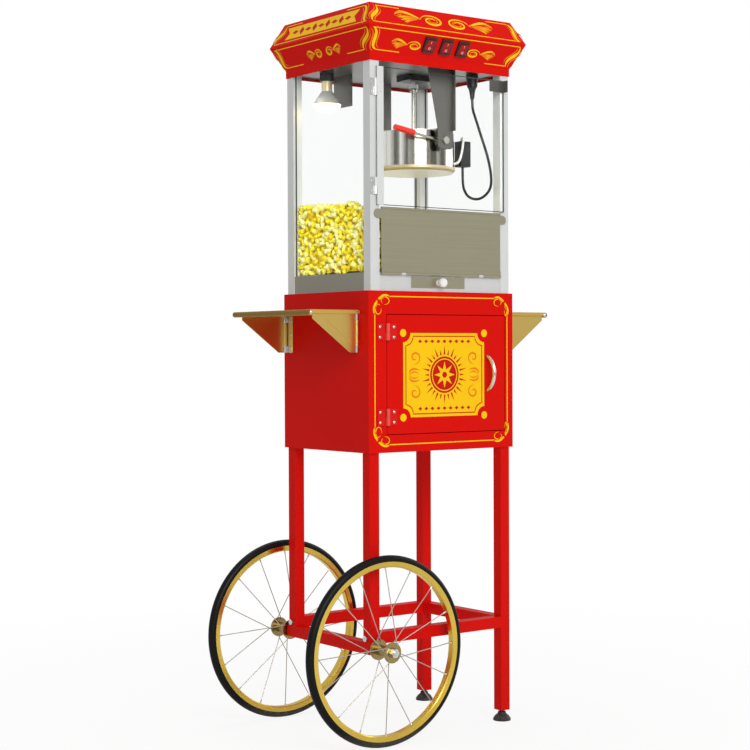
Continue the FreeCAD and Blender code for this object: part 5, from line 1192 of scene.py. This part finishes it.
def heap_shape(name, inset, footed=True):
    """A heap with its walls and top set in by a little, with or without its foot."""
    points = []
    for level in (0, 1):
        for j in range(STEPS_Y + 1):
            for i in range(STEPS_X + 1):
                across, along = i / STEPS_X, j / STEPS_Y
                z = HEAP_FOOT + (heap_level(across, along) - inset if level else 0)
                points.append((HEAP_LEFT + inset + (HEAP_RIGHT - HEAP_LEFT - 2 * inset) * across,
                               HEAP_FRONT + inset + (HEAP_BACK - HEAP_FRONT - 2 * inset) * along, z))
    row = STEPS_X + 1
    layer = row * (STEPS_Y + 1)
    faces = []
    for j in range(STEPS_Y):
        for i in range(STEPS_X):
            a = j * row + i
            if footed:
                faces.append((a, a + row, a + row + 1, a + 1))
            faces.append((layer + a, layer + a + 1, layer + a + row + 1, layer + a + row))
    rim = list(range(0, row - 1)) + [row * (j + 1) - 1 for j in range(STEPS_Y)]
    rim += list(range(layer - 1, layer - row, -1)) + [row * j for j in range(STEPS_Y, 0, -1)]
    for a, b in zip(rim, rim[1:] + rim[:1]):
        faces.append((a, b, layer + b, layer + a))
    return finished(mesh_from(name, points, faces))


kernels = bpy.data.collections.new("kernels")
scene.collection.children.link(kernels)
for index in range(KERNEL_SHAPES):
    kernels.objects.link(bpy.data.objects.new(f"kernel_{index}", kernel_mesh(f"kernel_{index}")))
corn_mesh = grown("popped_corn", heap_shape("heap_skin", 0, footed=False), scatter, Kernels=kernels,
                  Density=20000.0, Spacing=0.0092, Smallest=0.8, Largest=1.1, Seed=11,
                  Finish=finishes["popped_corn"])
for vertex in corn_mesh.vertices:
    vertex.co.x = min(max(vertex.co.x, CABINET_X - PANE_X + PRESSED), CABINET_X + PANE_X - PRESSED)
    vertex.co.y = min(max(vertex.co.y, DOOR_SIDE + PRESSED), PANE_BACK - PRESSED)
    vertex.co.z = max(vertex.co.z, tray_high.z + PRESSED)
for item in list(kernels.objects):
    bpy.data.objects.remove(item)
bpy.data.collections.remove(kernels)
add_piece("popped_corn", corn_mesh, None, "cart")
core_mesh = heap_shape("popcorn_heap_core", CORE_INSET)
add_piece("popcorn_heap_core", core_mesh, "popped_corn", "cart", smooth=False)
print("popped corn faces:", len(corn_mesh.polygons))

# %% [markdown]
# Screws and spoke nipples are the same small shape many times over, so one tree sets a model at
# each of a list of points, with its axis along the direction stored on that point. Each body gets
# a mesh of its own, because a screw on a door has to swing with the door.

# %% Screws and nipples
SCREW_PROFILE = ((3.2, -0.2), (3.2, 0.35), (2.7, 1.0), (1.6, 1.5), (0.6, 1.6))
NIPPLE_PROFILE = ((2.6, -4), (2.6, -1), (1.9, 0), (1.7, 7), (1.2, 8))
HINGE_LEVELS, CLEAR_LEVELS = (685, 707, 867, 889), (1177, 1199, 1387, 1409)
# Each set of hinge screws: size, body, x, y, levels.
HINGE_SCREWS = {
    "door_hinge_screws": (1.0, "cart", -173, -161.5, HINGE_LEVELS),
    "door_leaf_screws": (1.0, "cabinet_door", -136, -161.5, HINGE_LEVELS),
    "clear_hinge_screws": (0.6, "cart", -190, -158, CLEAR_LEVELS),
    "clear_strap_screws": (0.6, "clear_door", -170, -161.6, CLEAR_LEVELS),
}
BRACKET_X, BRACKET_Y, BRACKET_LEVELS, BRACKET_SIZE = 204, (-108, 130), (846, 875.5, 905), 0.8
SHELF_INSET, SHELF_SIZE = 0.008, 1.3
SPOKES, SPOKE_LEAD = 16, math.radians(38)
RIM_INNER, SPOKE_CIRCLE = 0.178, 0.018
HUB_HALF, SPOKE_CROSSING = 0.024, 0.002

setter, given, shown = new_tree("set_on_points", Model="Object", Size="Float", Finish="Material")
facing = add_node(setter, "GeometryNodeInputNamedAttribute", {"Name": "facing"}, data_type="FLOAT_VECTOR")
stand = add_node(setter, "FunctionNodeAlignRotationToVector", {
    "Vector": facing.outputs["Attribute"]}, axis="Z")
model = add_node(setter, "GeometryNodeObjectInfo", {"Object": given["Model"]})
place = add_node(setter, "GeometryNodeInstanceOnPoints", {
    "Points": given["Geometry"], "Instance": model.outputs["Geometry"],
    "Rotation": stand.outputs["Rotation"], "Scale": given["Size"]})
end_tree(setter, place.outputs["Instances"], given["Finish"], shown)


def spun(name, profile, sides):
    """A hidden model: a closed turned shape from its profile of radius and height in millimetres."""
    points = []
    for radius, height in profile:
        points += [(*polar(0, 0, radius * MM, math.tau * k / sides), height * MM) for k in range(sides)]
    faces = []
    for level in range(len(profile) - 1):
        for k in range(sides):
            a, b = level * sides + k, level * sides + (k + 1) % sides
            faces.append((a, b, b + sides, a + sides))
    faces.append(tuple(reversed(range(sides))))
    faces.append(tuple(range(len(points) - sides, len(points))))
    return linked(name, finished(mesh_from(name, points, faces)))


def set_along(name, model, size, body, spots):
    """Copies of a model at points, each along its own direction, as one piece on a body."""
    mesh = mesh_from(f"{name}_points", [point for point, way in spots], [])
    store = mesh.attributes.new("facing", "FLOAT_VECTOR", "POINT")
    for slot, (point, way) in zip(store.data, spots):
        slot.vector = way
    result = grown(name, mesh, setter, Model=model, Size=size, Finish=finishes["bright_steel"])
    add_piece(name, result, None, body)


def cabinet_point(x, y, z):
    """A point given in millimetres from the middle of the cabinet."""
    return Vector((CABINET_X + x * MM, y * MM, z * MM))


screw = spun("screw_model", SCREW_PROFILE, sides=12)
nipple = spun("nipple_model", NIPPLE_PROFILE, sides=8)
for name, (size, body, x, y, levels) in HINGE_SCREWS.items():
    set_along(name, screw, size, body, [(cabinet_point(x, y, z), FRONT) for z in levels])
leaf_screws = [(cabinet_point(way.x * BRACKET_X, y, z), way)
               for way in (LEFT, RIGHT) for y in BRACKET_Y for z in BRACKET_LEVELS]
set_along("bracket_leaf_screws", screw, BRACKET_SIZE, "cart", leaf_screws)
for word, way in (("left", LEFT), ("right", RIGHT)):
    shelf_low, shelf_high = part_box(f"{word}_shelf")
    across = (shelf_low if word == "left" else shelf_high).x - way.x * SHELF_INSET
    level = (shelf_low.z + shelf_high.z) / 2
    ends = [(Vector((across, y, level)), face) for y, face in ((shelf_low.y, FRONT), (shelf_high.y, BACK))]
    set_along(f"{word}_shelf_screws", screw, SHELF_SIZE, f"{word}_shelf", ends)
for word in ("front", "rear"):
    hub_low, hub_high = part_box(f"{word}_hub")
    middle = (Vector(hub_low) + Vector(hub_high)) / 2
    spots = []
    for index in range(SPOKES):
        flange = 1 if index % 2 else -1
        lead_hand = 1 if (index // 2) % 2 else -1
        at_rim = math.tau * index / SPOKES
        at_hub = at_rim + lead_hand * SPOKE_LEAD
        along = flange * HUB_HALF + lead_hand * SPOKE_CROSSING
        start = Vector((SPOKE_CIRCLE * math.cos(at_hub), along, SPOKE_CIRCLE * math.sin(at_hub)))
        end = Vector((RIM_INNER * math.cos(at_rim), 0, RIM_INNER * math.sin(at_rim)))
        spots.append((middle + end, (start - end).normalized()))
    set_along(f"{word}_spoke_nipples", nipple, 1.0, f"{word}_wheel", spots)
for item in (screw, nipple):
    bpy.data.objects.remove(item)
print("screws and nipples set")
